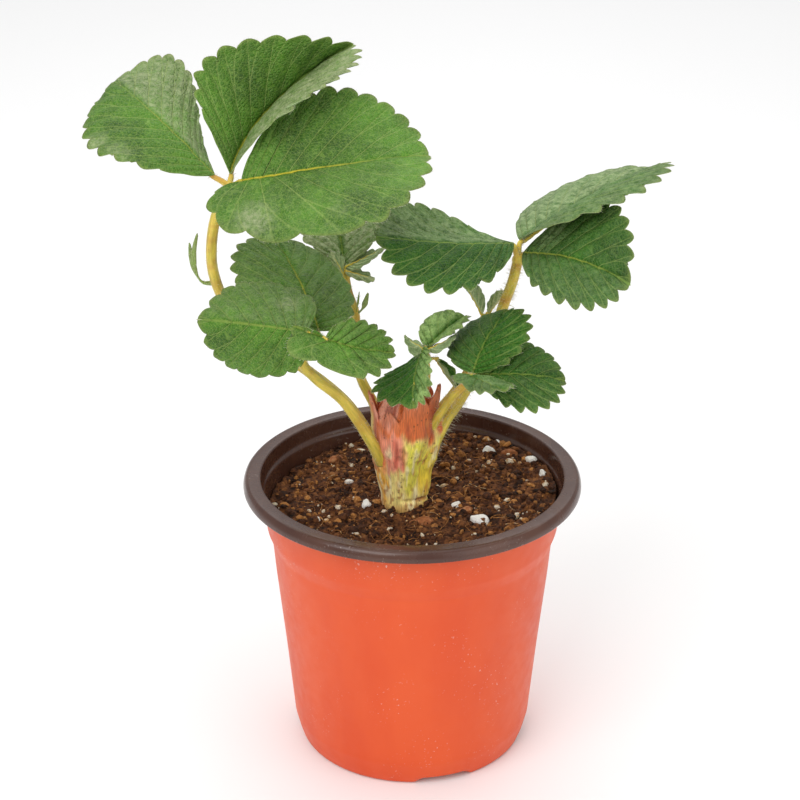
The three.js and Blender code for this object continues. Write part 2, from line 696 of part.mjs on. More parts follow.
let soil = soilBody();
const hole = new THREE.CylinderGeometry(...CROWN_HOLE, 40, CROWN_SIDES);
hole.rotateX(Math.PI / 2);
hole.translate(CROWN_X, CROWN_Y, CROWN_FOOT - 1 - GAP + 20);
soil = soil.subtract(toSolid(hole));
const loose = [
  ...PERLITE.map((bit, i) => [`perlite_granule_${i + 1}`, bit, 11 + i, colours.perlite]),
  ...BARK.map((bit, i) => [`bark_chip_${i + 1}`, bit, 41 + i, colours.bark]),
];
for (const [, bit, seed] of loose) soil = soil.subtract(lump(bit, seed, GAP + 0.05));
add('soil', soil, colours.soil);
for (const [name, bit, seed, material] of loose) add(name, lump(bit, seed), material);

let crown = crownBody();
for (const scale of SCALES) crown = crown.add(crownScale(scale));
for (const leaf of Object.values(LEAVES)) crown = crown.subtract(socketOf(leaf));
add('crown', crown, colours.crown);

for (const [letter, leaf] of Object.entries(LEAVES)) {
  add(`leaf_${letter}_stalk`, stalkOf(leaf), colours.stalk);
  add(`leaf_${letter}_leaflets`, bladesOf(leaf), colours.leaf);
}

// centre the part on its own box and stand it on z = 0
plant.updateMatrixWorld(true);
const box = new THREE.Box3().setFromObject(plant, true);
plant.position.set(-(box.min.x + box.max.x) / 2, -(box.min.y + box.max.y) / 2, -box.min.z);

export default plant;
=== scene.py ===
"""The looks of a potted young strawberry plant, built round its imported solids.
Shapes are worked out in millimetres from the pot's axis and the plane that it stands on."""
import functools

import bpy
import numpy as np
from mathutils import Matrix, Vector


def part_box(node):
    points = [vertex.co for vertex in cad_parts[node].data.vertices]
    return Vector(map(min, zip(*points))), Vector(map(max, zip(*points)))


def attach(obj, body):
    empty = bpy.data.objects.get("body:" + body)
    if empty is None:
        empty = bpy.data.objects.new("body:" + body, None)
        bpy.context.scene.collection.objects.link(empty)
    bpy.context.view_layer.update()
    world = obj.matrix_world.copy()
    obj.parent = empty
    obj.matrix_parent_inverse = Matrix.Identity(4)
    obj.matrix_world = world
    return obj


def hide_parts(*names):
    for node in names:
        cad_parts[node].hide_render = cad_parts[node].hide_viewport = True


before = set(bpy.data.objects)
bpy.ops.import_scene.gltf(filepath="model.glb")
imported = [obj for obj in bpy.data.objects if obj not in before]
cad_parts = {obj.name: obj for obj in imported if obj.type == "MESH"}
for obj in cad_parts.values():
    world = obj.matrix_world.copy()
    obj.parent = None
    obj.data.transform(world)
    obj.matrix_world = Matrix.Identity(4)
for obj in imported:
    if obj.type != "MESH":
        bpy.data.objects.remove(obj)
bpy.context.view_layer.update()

MM = 0.001
POT_LOW, POT_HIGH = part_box("pot")
POT_AXIS = np.array([(POT_LOW[0] + POT_HIGH[0]) / 2, (POT_LOW[1] + POT_HIGH[1]) / 2, 0.0]) / MM
DEGREE = np.pi / 180

# ---- camera: a 90 mm lens, 0.7 m from the plant, looking down at it
VIEW_PITCH = 24.54 * DEGREE
VIEW_DISTANCE = 699.5
VIEW_CENTRE = np.array([-4.35, 0.0, 132.1])
LENS = 90.0
SENSOR = 36.0
FLOOR_SIZE = 6.0  # metres from its middle to its edge
FLOOR_DROP = 0.0003  # metres below the pot's foot
SKY_STRENGTH = 0.55
LAMPS = (  # name, place, what it points at, size in metres, watts
    ("key_softbox", (-420, -620, 760), (0, 0, 130), 0.7, 4.9),
    ("fill_softbox", (560, -520, 420), (0, 0, 130), 0.7, 1.5),
    ("top_softbox", (60, 160, 900), (0, 0, 130), 0.9, 2.2),
    ("floor_softbox", (0, 1100, 1100), (0, 1080, 0), 1.5, 6.5))

# ---- pot, as in the part's source
POT_SIDES = 360
POT_HEIGHT = 104.0
FLOOR = 3.6
WALL = 1.1
FOOT_INNER = 38.2
FOOT_OUTER = 41.0
MOUTH_RADIUS = 53.8
ARCH_HEIGHT = 2.4
ARCHES = ((16, 30), (82, 30), (148, 30), (-146, 30), (-96, 24))
DRAIN_HOLES = 6
DRAIN_RADIUS = 3.5
DRAIN_CIRCLE = 28.0
DRAIN_SIDES = 28
CORNER_CUT = 0.9
AXIS_RADIUS = 0.6  # how near to its axis a turned body's end starts
OUTER_WALL = [(FOOT_OUTER, 0), (42.1, 3.4), (43.5, 9), (43.6, 10.5), (46.1, 37.8), (49.2, 68), (50.2, 80),
              (52, 85), (53.4, 98), (54.6, 102.6)]
LIP = [(58.9, 102.6), (59.1, 100), (60, 100), (60, 101.6), (59.4, 103.2), (58.4, POT_HEIGHT),
       (MOUTH_RADIUS, POT_HEIGHT)]
INNER_WALL = [(MOUTH_RADIUS - 0.4, 98.6), (52.3, 97.4), (50.9, 85), (49.1, 80), (45, 37.8),
              (42.2, FLOOR + WALL)]

# ---- soil
SOIL_HEIGHT = 94.2
SOIL_SLOPE = 0.07
SOIL_LUMP = 1.1
GAP = 0.3
SOIL_SIDES = 300
SOIL_RADIUS = 51.2  # of its top
CRUMBS = 3400
CRUMB_RADIUS = 50.2  # how far out crumbs lie
FIBRES = 210
CROWN_CLEAR = 7.2  # no crumb lies nearer to the crown's axis

# ---- crown: its axis, (height, radius) up its stem, and each sheath's azimuth, foot and tip heights, half
# angle and flare
CROWN_X = -2.6
CROWN_Y = -4.2
CROWN_PROFILE = np.array([(82, 5), (86, 6.2), (94, 6.8), (98, 7.4), (104, 8.2), (111, 9.4), (118, 10.4),
                          (125, 10.8), (131, 10), (135, 7.6), (137, 4)])
SCALES = [(186, 116, 137.5, 34, 2.4), (238, 112, 133, 38, 0.6), (292, 114, 139, 42, 1.2),
          (342, 115, 141, 36, 2.2), (60, 116, 138, 44, 1.4), (120, 115, 137, 42, 1.6)]

# ---- leaves: each one's hub, the radii of its stalk's foot and tip, and points along its stalk and bracts
LEAVES = {
    "a": dict(hub=(-61, 0, 210), radius=(2.1, 1.8), stalk=[(-11, -4, 112), (-17, 1, 121), (-24, 5, 129.5),
        (-36.5, 9, 139), (-52.5, 11, 150), (-64.5, 11, 163.5), (-68.5, 9, 175.5), (-68.5, 5, 188),
        (-66, 2, 200)], bracts=[[(-68, 9.5, 172), (-72.5, 9, 172.5), (-75, 8.5, 178), (-75, 8, 184),
        (-73.5, 8, 191)], [(-68, 9.5, 172.5), (-73, 9.5, 173), (-76, 9.5, 181), (-76.5, 9.5, 187)]]),
    "b": dict(hub=(-32, -24, 165), radius=(2.1, 1.7), stalk=[(-10.5, -8, 112), (-15, -12, 123),
        (-24, -16, 139.5), (-33, -20, 149.5), (-37, -22.5, 156.5)], bracts=[]),
    "c": dict(hub=(-23.6, 25.4, 168.6), radius=(1.9, 1.4), stalk=[(-10.5, 2, 119), (-13, 8, 125.5),
        (-18, 14.5, 133.3), (-20.5, 19, 140.5), (-20, 22, 149.3), (-20.3, 23.7, 155.7),
        (-22.6, 25.4, 162.6)], bracts=[[(-20, 23.2, 155.3), (-19.4, 22.2, 158.8), (-18.7, 21.7, 164.3)],
        [(-20, 23.2, 154.8), (-17.5, 22.2, 157.8), (-15.6, 21.7, 163.8)]]),
    "d": dict(hub=(36.2, 8.8, 181), radius=(2.2, 1.8), stalk=[(4.5, -7, 111.5), (8.5, -7, 121),
        (12, -5, 127.5), (16.5, -1.5, 133), (28, 5, 154), (31.5, 7, 165), (34.5, 8, 173.5)], bracts=[]),
    "e": dict(hub=(20, -17.5, 148), radius=(1.7, 1.4), stalk=[(3.8, -8.2, 120), (6.8, -9.2, 126.3),
        (10, -11.2, 133), (13.5, -13.2, 139.2)], bracts=[]),
    "f": dict(hub=(4, -7, 151.5), radius=(2.2, 1.8), stalk=[(1, -5, 131), (3.2, -5.5, 137),
        (4.2, -6.5, 144)], bracts=[]),
    "g": dict(hub=(25, 10.5, 159), radius=(1.4, 1), stalk=[(5.5, 1.5, 120), (8.5, 4, 125.5), (14, 7, 131.5),
        (19, 9, 139), (23.2, 10, 149)], bracts=[]),
}

# leaflets: where each starts, the way it points, its size and its bends in degrees; pairs are for its left
# and right half. lobe draws its base back and ear rounds it, skew makes it wider towards its tip, wedge above
# 1 tapers its base and below 1 rounds it, bare is the share of its margin, from the base, with no teeth, and
# deep replaces its leaf's depth of teeth. pale says how much painted sheen, with some dusty bloom, each half
# gets, golden how yellow the midrib's foot is, and the list of patches gives round patches of painted sheen
# and dust: place along and across, radius and strength.
LEAFLETS = {
    "a left": dict(base=(-66, 0, 214.5), heading=175, pitch=50, roll=-40, length=56, width=(27, 25.5),
        fold=(34, -46), cup=(-10, 6), droop=70, swing=-26, twist=-38, skew=(0, 0.33), teeth=9,
        pale=(0.05, 0.75), golden=0.3, sheen_and_dust_patches=[((36, 24), 4, 0.9), ((26, 23), 4, 0.8)]),
    "a middle": dict(base=(-61, 2, 214), heading=84, pitch=22, roll=25, length=63, width=(31.5, 30),
        fold=(38, 81), cup=(-25, -18), droop=-53, swing=-47, twist=4, wedge=(1.5, 1.2), teeth=9,
        pale=(0.1, 0.95), golden=0.6),
    "a right": dict(base=(-57, -3, 213.5), heading=6, pitch=9, roll=34, length=63, width=(31, 31),
        fold=(8, 10), cup=(15, -25), droop=10, swing=2, twist=-21, lobe=(0, 22), wedge=(1.3, 2),
        bare=(0.26, 0.1), teeth=9, pale=(0.1, 0.15), golden=1.0, sheen_and_dust_patches=[((2, -18), 7, 1.0),
        ((30, -22), 5, 0.35)]),
    "b middle": dict(base=(-31.5, -17.1, 165.4), heading=107, pitch=29, roll=-12, length=49,
        width=(21.3, 19.5), fold=(30, -20), cup=(-35, -22.5), droop=13, swing=12.5, twist=-3, lobe=(3, 3),
        wedge=(0.95, 0.95), bare=(0.22, 0.22), teeth=8, deep=0.85, pale=(0.2, 0.25), golden=0.5),
    "b left": dict(base=(-35, -31.3, 170.9), heading=165, pitch=3, roll=-15, length=38, width=(21.5, 24),
        fold=(-71.5, 8), cup=(-38.5, -16.5), droop=7.5, swing=-3, twist=1, lobe=(4, 4), wedge=(0.9, 0.8),
        bare=(0.2, 0.2), teeth=8, pale=(0.05, 0.3), sheen_and_dust_patches=[((10, -12), 6, 0.8)]),
    "b right": dict(base=(-28.7, -30, 168.3), heading=7, pitch=-26, roll=43, length=24, width=(11.5, 12.5),
        fold=(5, 6), cup=(-6, -3), droop=6, swing=25, twist=-23, lobe=(1, 19), ear=(0, 12),
        wedge=(1.1, 0.75), bare=(0.26, 0.1), teeth=6, deep=2.6, pale=(0.2, 0.15)),
    # the c leaflets lie in the shade of leaf a; their pale values above 1 paint them lighter
    "c middle": dict(base=(-24, 26.4, 170.9), heading=97, pitch=27, roll=-1, length=33, width=(16, 16.5),
        fold=(30, 34), cup=(-30, -40), droop=10, teeth=6, pale=(1.1, 1.1)),
    "c right": dict(base=(-23.3, 25.5, 171.3), heading=20, pitch=18.5, roll=-175, length=15.5,
        width=(5.5, 8.5), fold=(-4, -2.5), droop=7, swing=-3, twist=-27, wedge=(0.9, 0.9), teeth=5,
        pale=(2.0, 2.0)),
    "c left": dict(base=(-23.6, 24.2, 170.7), heading=2, pitch=-11, roll=-135.5, length=10.4,
        width=(1.9, 4.7), fold=(26, 20), cup=(20, 20), droop=-4, swing=10.5, twist=-5.5, wedge=(0.7, 0.7),
        teeth=3, pale=(2.0, 2.0)),
    "c rim": dict(base=(-23.9, 23.1, 167.3), heading=155, pitch=69, roll=159, length=11.3, width=(4.9, 3),
        fold=(19, 16), cup=(0, 11), droop=-15, swing=-4, twist=-7, wedge=(0.8, 0.8), teeth=4,
        pale=(2.0, 2.0)),
    "d left": dict(base=(34.5, 8, 187.5), heading=198, pitch=4, roll=14, length=49, width=(24, 23),
        fold=(-27, 2), cup=(1, 32), droop=-10, swing=2, twist=-19, teeth=8, pale=(0.0, 0.55)),
    "d right": dict(base=(38.2, 10.5, 183.2), heading=-38, pitch=13.5, roll=41, length=46, width=(24, 20),
        fold=(-8, 26), cup=(3.5, -3.5), droop=2.5, swing=-29, twist=13, teeth=8, pale=(0.1, 0.2),
        golden=0.3, sheen_and_dust_patches=[((8, 9), 6, 0.8)]),
    "d middle": dict(base=(36.6, 11.3, 187.4), heading=33, pitch=23, roll=-15, length=59, width=(28, 30),
        fold=(11, 22), cup=(-23, -34), droop=15, wedge=(1.35, 0.7), teeth=8, pale=(0.8, 0.4)),
    "e middle": dict(base=(20, -18, 150.4), heading=64, pitch=48, roll=-7, length=28, width=(16, 14.5),
        fold=(6, 2), cup=(-20, -30), droop=30, swing=-8, twist=-18, lobe=(1, 1), wedge=(1, 1),
        bare=(0.2, 0.2), teeth=7, pale=(0.15, 0.0)),
    "e right": dict(base=(21.5, -18, 150), heading=-3, pitch=5, roll=30, length=30, width=(15, 15),
        fold=(5, -4), cup=(-2, -13), droop=20, swing=-2, twist=-18, teeth=7, pale=(0.1, 0.1)),
    "e left": dict(base=(19.5, -22, 151.4), heading=-51, pitch=0, roll=-1, length=17, width=(8, 9),
        fold=(-5, 3), cup=(-15, -4), droop=-4, lobe=(0, 6), teeth=5, pale=(0.35, 0.35),
        sheen_and_dust_patches=[((8, 0), 5, 0.6)]),
    "f middle": dict(base=(4.8, -6.5, 154.5), heading=45, pitch=34, roll=-7, length=18, width=(9.5, 8.5),
        fold=(34, 30), cup=(-30, -30), droop=24, swing=-12, wedge=(1, 1.1), teeth=5, pale=(1.0, 0.8)),
    "f left": dict(base=(3.8, -8.8, 156), heading=247, pitch=-23, roll=24, length=24.4, width=(7.6, 16.7),
        fold=(10, -33), cup=(35.5, 37), droop=25.5, swing=12, twist=-32, wedge=(1, 1), teeth=6, deep=2.0,
        pale=(0.7, 0.0)),
    "f right": dict(base=(9, -5, 149.8), heading=12, pitch=-68, roll=30, length=14, width=(3.2, 3.2),
        fold=(50, 50), droop=-20, teeth=3, pale=(0.0, 0.0)),
    "f horn": dict(base=(4.9, -8.6, 154), heading=173, pitch=22, roll=161, length=9.2, width=(4.9, 6.6),
        fold=(7.5, 2), cup=(13, -2), droop=11, swing=17, twist=30, teeth=3, pale=(1.2, 1.2)),
    "f rim": dict(base=(5.2, -9.1, 154.2), heading=13, pitch=21, roll=-168, length=10.8, width=(5, 5.5),
        fold=(-4.5, 5.5), cup=(-3.5, 22), droop=6, swing=-13, twist=-29, teeth=3, pale=(1.2, 1.2)),
    "g middle": dict(base=(24.4, 10, 160.8), heading=165, pitch=62, roll=60, length=13, width=(3.6, 3.6),
        fold=(38, 38), droop=6, teeth=4, pale=(0.0, 0.0)),
    "g right": dict(base=(26.2, 11, 161), heading=25, pitch=50, roll=-30, length=9, width=(3.4, 3.4),
        fold=(38, 38), droop=10, teeth=4, pale=(0.4, 0.4)),
}
# what a leaflet has where it says nothing else
PLAIN = dict(fold=(0, 0), cup=(0, 0), droop=0, swing=0, twist=0, lobe=(0, 0), ear=(0, 0), skew=(0, 0),
             wedge=(1.2, 1.2), bare=(0.26, 0.26), golden=0.12, sheen_and_dust_patches=())

# how deeply each leaf's blades are quilted between their veins, and how deep and how pointed their teeth are
QUILT = {"a": 0.5, "b": 1.0, "c": 1.0, "d": 0.9, "e": 1.1, "f": 1.0, "g": 0.8}
TEETH = {"a": 0.9, "b": 1.5, "c": 1.1, "d": 1.35, "e": 1.5, "f": 1.6, "g": 1.0}
POINTED = {"a": 0.25, "b": 0.7, "c": 0.4, "d": 0.25, "e": 0.6, "f": 0.8, "g": 0.5}

# hairs for each millimetre of a stalk, and how long they are
HAIR_COUNT = {"a": 4, "b": 5, "c": 6, "d": 15, "e": 9, "f": 9, "g": 8}
HAIR_LENGTH = {"a": 0.9, "b": 1.0, "c": 1.2, "d": 2.7, "e": 1.6, "f": 1.4, "g": 1.2}
HUB_SEAT = 0.8  # how far short of its hub's middle a stalk ends
HAIR_ROOT = 0.15  # how deep a hair's root is sunk
STALK_HAIR = 0.045  # half the thickness of a hair
MARGIN_HAIR = 0.035
STALK_STEPS = 90
STALK_SIDES = 20

# ---- loose bits: [x, y, half sizes, turn]
PERLITE = [
    (28.3, 31.3, (2.5, 2.1, 2), 20), (31.8, 36.6, (1.7, 1.4, 1.3), 70), (43.4, 21.4, (2.1, 1.8, 1.8), 0),
    (47, 9.2, (1.5, 1.9, 1.6), 10), (22.7, -22.5, (3.1, 2.2, 2), -8), (15.4, -9.5, (1.8, 1.4, 1.5), 40),
    (-16.1, -6, (1.5, 1.3, 2.2), 0), (-22.9, 14.6, (1.4, 1.3, 1.2), 30), (-34, -14, (1.6, 1.4, 1.3), 55),
    (-6, 36, (1.9, 1.6, 1.5), 15),
]
BARK = [
    (3.4, -20.6, (3.8, 2.2, 1.5), 12), (18.6, -14.6, (2.7, 2.1, 1.6), -20), (35.8, 28.2, (3.4, 2, 1.6), -35),
    (-28.2, 31.5, (2.8, 1.9, 1.4), 30),
]

# ---- blades: rows lie at shares of each tooth, columns at shares of the way from the midrib to the margin
TURN_START = 0.1
TOOTH_DEPTH = 0.055  # as a share of the leaflet's length
TOOTH_STEPS = np.array([0, 0.02, 0.06, 0.12, 0.21, 0.31, 0.41, 0.5, 0.59, 0.69, 0.79, 0.88, 0.94, 0.98])
ACROSS_STEPS = np.array([0, 0.012, 0.03, 0.06, 0.11, 0.17, 0.24, 0.31, 0.39, 0.47, 0.55, 0.63, 0.71, 0.79,
                         0.86, 0.92, 0.965, 1])
VEIN_AT = 0.55  # where along a tooth its side vein runs
BLADE_THICKNESS = 0.36
SKIN_UNIT = 100  # millimetres of surface for 1 in its own coordinates

COLOURS = {"output": 2, "data_type": "RGBA"}  # what makes a Mix node blend colours

# ---- numbers and curves


def linear(colour):
    """The linear red, green and blue of an sRGB hex colour such as "#3d6b2f"."""
    parts = np.array([int(colour[i:i + 2], 16) for i in (1, 3, 5)]) / 255
    return np.where(parts <= 0.04045, parts / 12.92, ((parts + 0.055) / 1.055) ** 2.4)


def smoothstep(low, high, value):
    """0 below low, 1 above high, and an S-shaped cubic between."""
    share = np.clip((value - low) / (high - low), 0, 1)
    return share * share * (3 - 2 * share)


def bell(value, width):
    """1 at 0, falling off evenly on both sides as a bell curve of that width."""
    return np.exp(-(value / width) ** 2)


def noise(points, cell, seed=0):
    """Smooth value noise from -1 to 1: a hashed number at each corner of cubes of side cell,
    blended across the cube by an S-shaped cubic along each axis."""
    scaled = points / cell + 1000.5
    corner = np.floor(scaled).astype(np.int64)
    part = scaled - corner
    part = part * part * (3 - 2 * part)
    total = 0
    for i, j, k in np.ndindex(2, 2, 2):
        mixed = ((corner[..., 0] + i) * 73856093 ^ (corner[..., 1] + j) * 19349663
                 ^ (corner[..., 2] + k) * 83492791 ^ (seed + 1) * 2971215073)
        mixed = (mixed ^ (mixed >> 13)) * 1274126177
        mixed = mixed ^ (mixed >> 16)
        weight = (np.where(i, part[..., 0], 1 - part[..., 0]) * np.where(j, part[..., 1], 1 - part[..., 1])
                  * np.where(k, part[..., 2], 1 - part[..., 2]))
        total = total + ((mixed & 0xFFFF) / 32767.5 - 1) * weight
    return total


def smooth_line(points, steps):
    """A smooth curve through the points, read at equal steps of its length. Each span is a cubic whose
    end slopes come from the neighbouring points, weighted by the square roots of their distances."""
    p = np.array(points, float)
    p = np.vstack([2 * p[0] - p[1], p, 2 * p[-1] - p[-2]])
    gaps = np.linalg.norm(np.diff(p, axis=0), axis=1)[:, None] ** 0.5
    before, here, after = gaps[:-2], gaps[1:-1], gaps[2:]
    x0, x1, x2, x3 = p[:-3], p[1:-2], p[2:-1], p[3:]
    leave = here * ((x1 - x0) / before - (x2 - x0) / (before + here) + (x2 - x1) / here)
    arrive = here * ((x2 - x1) / here - (x3 - x1) / (here + after) + (x3 - x2) / after)
    t = np.linspace(0, 1, 25)[None, :-1, None]
    x1, x2, leave, arrive = (v[:, None, :] for v in (x1, x2, leave, arrive))
    dense = ((2 * t ** 3 - 3 * t ** 2 + 1) * x1 + (t ** 3 - 2 * t ** 2 + t) * leave
             + (3 * t ** 2 - 2 * t ** 3) * x2 + (t ** 3 - t ** 2) * arrive)
    dense = np.vstack([dense.reshape(-1, 3), p[-2]])
    length = distances(dense)
    at = np.linspace(0, length[-1], steps + 1)
    return np.stack([np.interp(at, length, dense[:, k]) for k in range(3)], -1)


def stacked(*values):
    """Numbers or arrays spread to one shape and put side by side along a new last axis."""
    return np.stack(np.broadcast_arrays(*values), -1)


def full_turn(count):
    """Equally spaced azimuths round a full turn."""
    return np.linspace(0, 2 * np.pi, count, endpoint=False)


def apart(angle, middle):
    """How far apart two azimuths are, from 0 to pi."""
    return np.abs((angle - middle + np.pi) % (2 * np.pi) - np.pi)


def length_of(line):
    """A line's whole length."""
    return np.linalg.norm(np.diff(line, axis=0), axis=1).sum()


def distances(line):
    """How far along a line each of its points is."""
    return np.concatenate([[0], np.cumsum(np.linalg.norm(np.diff(line, axis=0), axis=1))])


def unit(vectors):
    """Each vector over its own length."""
    return vectors / np.maximum(np.linalg.norm(vectors, axis=-1, keepdims=True), 1e-9)


# ---- parts: points in millimetres, faces of four and three corners, and numbers for each point

TRAITS = ("under", "phase", "gap", "share", "edge", "pale", "tint", "along")


def part_of(points, quads, triangles=(), **traits):
    """One part of a piece. across and along give the surface its own coordinates in millimetres."""
    part = {"points": np.asarray(points, float).reshape(-1, 3),
            "quads": np.asarray(quads, np.int64).reshape(-1, 4),
            "triangles": np.asarray(triangles, np.int64).reshape(-1, 3)}
    for name in (*TRAITS, "across"):
        value = np.ravel(traits.get(name, 0.0)).astype(float)
        part[name] = np.broadcast_to(value, len(part["points"])).copy()
    return part


def outward(part):
    """Turns a closed part's faces outwards: its signed volume is then above zero."""
    p = part["points"] - part["points"].mean(axis=0)
    q, t = part["quads"], part["triangles"]
    faces = np.vstack([q[:, [0, 1, 2]], q[:, [0, 2, 3]], t])
    a, b, c = p[faces[:, 0]], p[faces[:, 1]], p[faces[:, 2]]
    if np.einsum("ij,ij->", a, np.cross(b, c)) < 0:
        part["quads"] = q[:, ::-1]
        part["triangles"] = t[:, ::-1]
    return part


def grid_quads(index):
    """Quads between the points of a grid, from the points' numbers by row and column."""
    return stacked(index[:-1, :-1], index[:-1, 1:], index[1:, 1:], index[1:, :-1]).reshape(-1, 4)


def ring_faces(rows, columns):
    """Quads between rings of points, and triangles that close the first and last ring to two more points."""
    index = np.arange(rows * columns).reshape(rows, columns)
    index = np.hstack([index, index[:, :1]])
    return grid_quads(index), np.vstack([stacked(rows * columns, index[0, 1:], index[0, :-1]),
                                         stacked(rows * columns + 1, index[-1, :-1], index[-1, 1:])])


def turned(rings, **traits):
    """A closed body from rings of points, one past another, each end closed to its ring's middle."""
    points = np.vstack([rings.reshape(-1, 3), rings[0].mean(axis=0), rings[-1].mean(axis=0)])
    full = {}
    for name, value in traits.items():
        value = np.broadcast_to(value, rings.shape[:2])
        full[name] = np.concatenate([value.ravel(), [value[0].mean(), value[-1].mean()]])
    return outward(part_of(points, *ring_faces(*rings.shape[:2]), **full))


def tube(line, radii, sides=12, squash=1.0, **traits):
    """A round body along a line of points: a circle of the radius there, across the line's direction.
    squash below 1 flattens it."""
    line = np.asarray(line, float)
    radii = np.broadcast_to(np.asarray(radii, float), len(line))
    direction = unit(np.gradient(line, axis=0))
    run = np.abs(unit(line[-1] - line[0]))
    first = unit(np.cross(direction, np.eye(3)[np.argmin(run)]))
    second = np.cross(direction, first)
    angle = full_turn(sides)
    rings = line[:, None] + radii[:, None, None] * (
        first[:, None] * np.cos(angle)[None, :, None]
        + squash * second[:, None] * np.sin(angle)[None, :, None])
    traits.setdefault("along", distances(line)[:, None])
    traits.setdefault("across", radii[:, None] * (angle - np.pi)[None])
    return turned(rings, **traits)


def stones(centres, halves, turns, rng, facets=9, rows=5, columns=6, sharp=9.0, **traits):
    """Rough stones: the distance out in each direction is set by that stone's own random planes,
    blended by a power mean, then scaled to its half sizes and turned about the upright."""
    count = len(centres)
    polar = np.linspace(0, np.pi, rows + 2)[1:-1, None]
    angle = full_turn(columns)
    directions = stacked(np.sin(polar) * np.cos(angle + 0.3), np.sin(polar) * np.sin(angle + 0.3),
                         np.cos(polar)).reshape(-1, 3)
    directions = np.vstack([directions, [[0, 0, 1], [0, 0, -1]]])
    planes = unit(rng.normal(size=(count, facets, 3)))
    reach = np.maximum(np.einsum("vk,nfk->nvf", directions, planes), 0)
    near = rng.uniform(0.75, 1.05, size=(count, 1, facets))
    out = np.minimum(1.25, 1 / np.maximum((np.sum((reach / near) ** sharp, axis=-1)) ** (1 / sharp), 0.5))
    shape = directions[None] * out[..., None] * np.asarray(halves, float)[:, None, :]
    cosine, sine = np.cos(turns)[:, None], np.sin(turns)[:, None]
    shape = stacked(shape[..., 0] * cosine - shape[..., 1] * sine,
                    shape[..., 0] * sine + shape[..., 1] * cosine, shape[..., 2])
    points = shape + np.asarray(centres, float)[:, None, :]
    corners = rows * columns + 2
    quads, ends = ring_faces(rows, columns)
    offsets = (np.arange(count) * corners)[:, None, None]
    full = {name: np.repeat(np.broadcast_to(value, count), corners) for name, value in traits.items()}
    return part_of(points, quads[:, ::-1] + offsets, ends[:, [0, 2, 1]] + offsets, **full)


def hairs(roots, directions, lengths, thickness, bend):
    """Fine hairs: each a three-sided point with one bend, its root sunk in what it grows from."""
    count = len(roots)
    directions = unit(directions)
    side = unit(np.cross(directions, [[0.31, 0.47, 0.83]]))
    other = np.cross(directions, side)
    angle = np.arange(3) * 2 * np.pi / 3
    ring = (side[:, None] * np.cos(angle)[None, :, None] + other[:, None] * np.sin(angle)[None, :, None])
    lengths = np.asarray(lengths)[:, None, None]
    sway = bend[:, None, :]
    low = roots[:, None] - HAIR_ROOT * directions[:, None] + thickness * ring
    middle = (roots[:, None] + 0.55 * lengths * directions[:, None] + 0.3 * lengths * sway
              + 0.7 * thickness * ring)
    tip = roots[:, None] + lengths * directions[:, None] + lengths * sway
    points = np.concatenate([low, middle, tip], axis=1)
    quads = np.array([[0, 1, 4, 3], [1, 2, 5, 4], [2, 0, 3, 5]])
    triangles = np.array([[3, 4, 6], [4, 5, 6], [5, 3, 6], [2, 1, 0]])
    offsets = (np.arange(count) * 7)[:, None, None]
    return part_of(points, quads + offsets, triangles + offsets)


def make_piece(name, parts, replaces=(), facet=()):
    """One object from parts, each given as (part, material). facet lists parts left with flat faces."""
    materials = []
    points, loops, starts, slots, flats, total, start = [], [], [], [], [], 0, 0
    for number, (part, material) in enumerate(parts):
        if material not in materials:
            materials.append(material)
        q, t = part["quads"] + total, part["triangles"] + total
        loops += [q.ravel(), t.ravel()]
        starts += [start + 4 * np.arange(len(q)), start + 4 * len(q) + 3 * np.arange(len(t))]
        start += 4 * len(q) + 3 * len(t)
        slots.append(np.full(len(q) + len(t), materials.index(material)))
        flats.append(np.full(len(q) + len(t), number not in facet))
        points.append(part["points"])
        total += len(part["points"])
    mesh = bpy.data.meshes.new(name)
    loops = np.concatenate(loops).astype(np.int32)
    starts = np.concatenate(starts).astype(np.int32)
    mesh.vertices.add(total)
    mesh.vertices.foreach_set("co", ((np.vstack(points) + POT_AXIS) * MM).astype(np.float32).ravel())
    mesh.loops.add(len(loops))
    mesh.loops.foreach_set("vertex_index", loops)
    mesh.polygons.add(len(starts))
    mesh.polygons.foreach_set("loop_start", starts)
    mesh.polygons.foreach_set("material_index", np.concatenate(slots).astype(np.int32))
    mesh.polygons.foreach_set("use_smooth", np.concatenate(flats))
    mesh.update(calc_edges=True)
    for trait in TRAITS:
        values = np.concatenate([part[trait] for part, _ in parts]).astype(np.float32)
        if values.any():
            mesh.attributes.new(trait, "FLOAT", "POINT").data.foreach_set("value", values)
    uv = np.stack([np.concatenate([part[k] for part, _ in parts]) for k in ("across", "along")], -1)
    uv_layer = mesh.uv_layers.new(name="skin")
    uv_layer.data.foreach_set("uv", (uv[loops] / SKIN_UNIT).astype(np.float32).ravel())
    colours = np.vstack([part.get("colour", np.zeros((len(part["points"]), 3))) for part, _ in parts])
    if colours.any():
        paint = mesh.attributes.new("colour", "FLOAT_COLOR", "POINT")
        paint.data.foreach_set("color", np.hstack([colours, np.ones((total, 1))]).astype(np.float32).ravel())
    for material in materials:
        mesh.materials.append(material)
    mesh.validate()
    piece = bpy.data.objects.new(name, mesh)
    bpy.context.scene.collection.objects.link(piece)
    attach(piece, "root")
    if replaces:
        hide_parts(*replaces)
    return piece


# ---- materials

def rgba(colour):
    """A hex colour as linear red, green, blue and full alpha."""
    return (*linear(colour), 1.0)


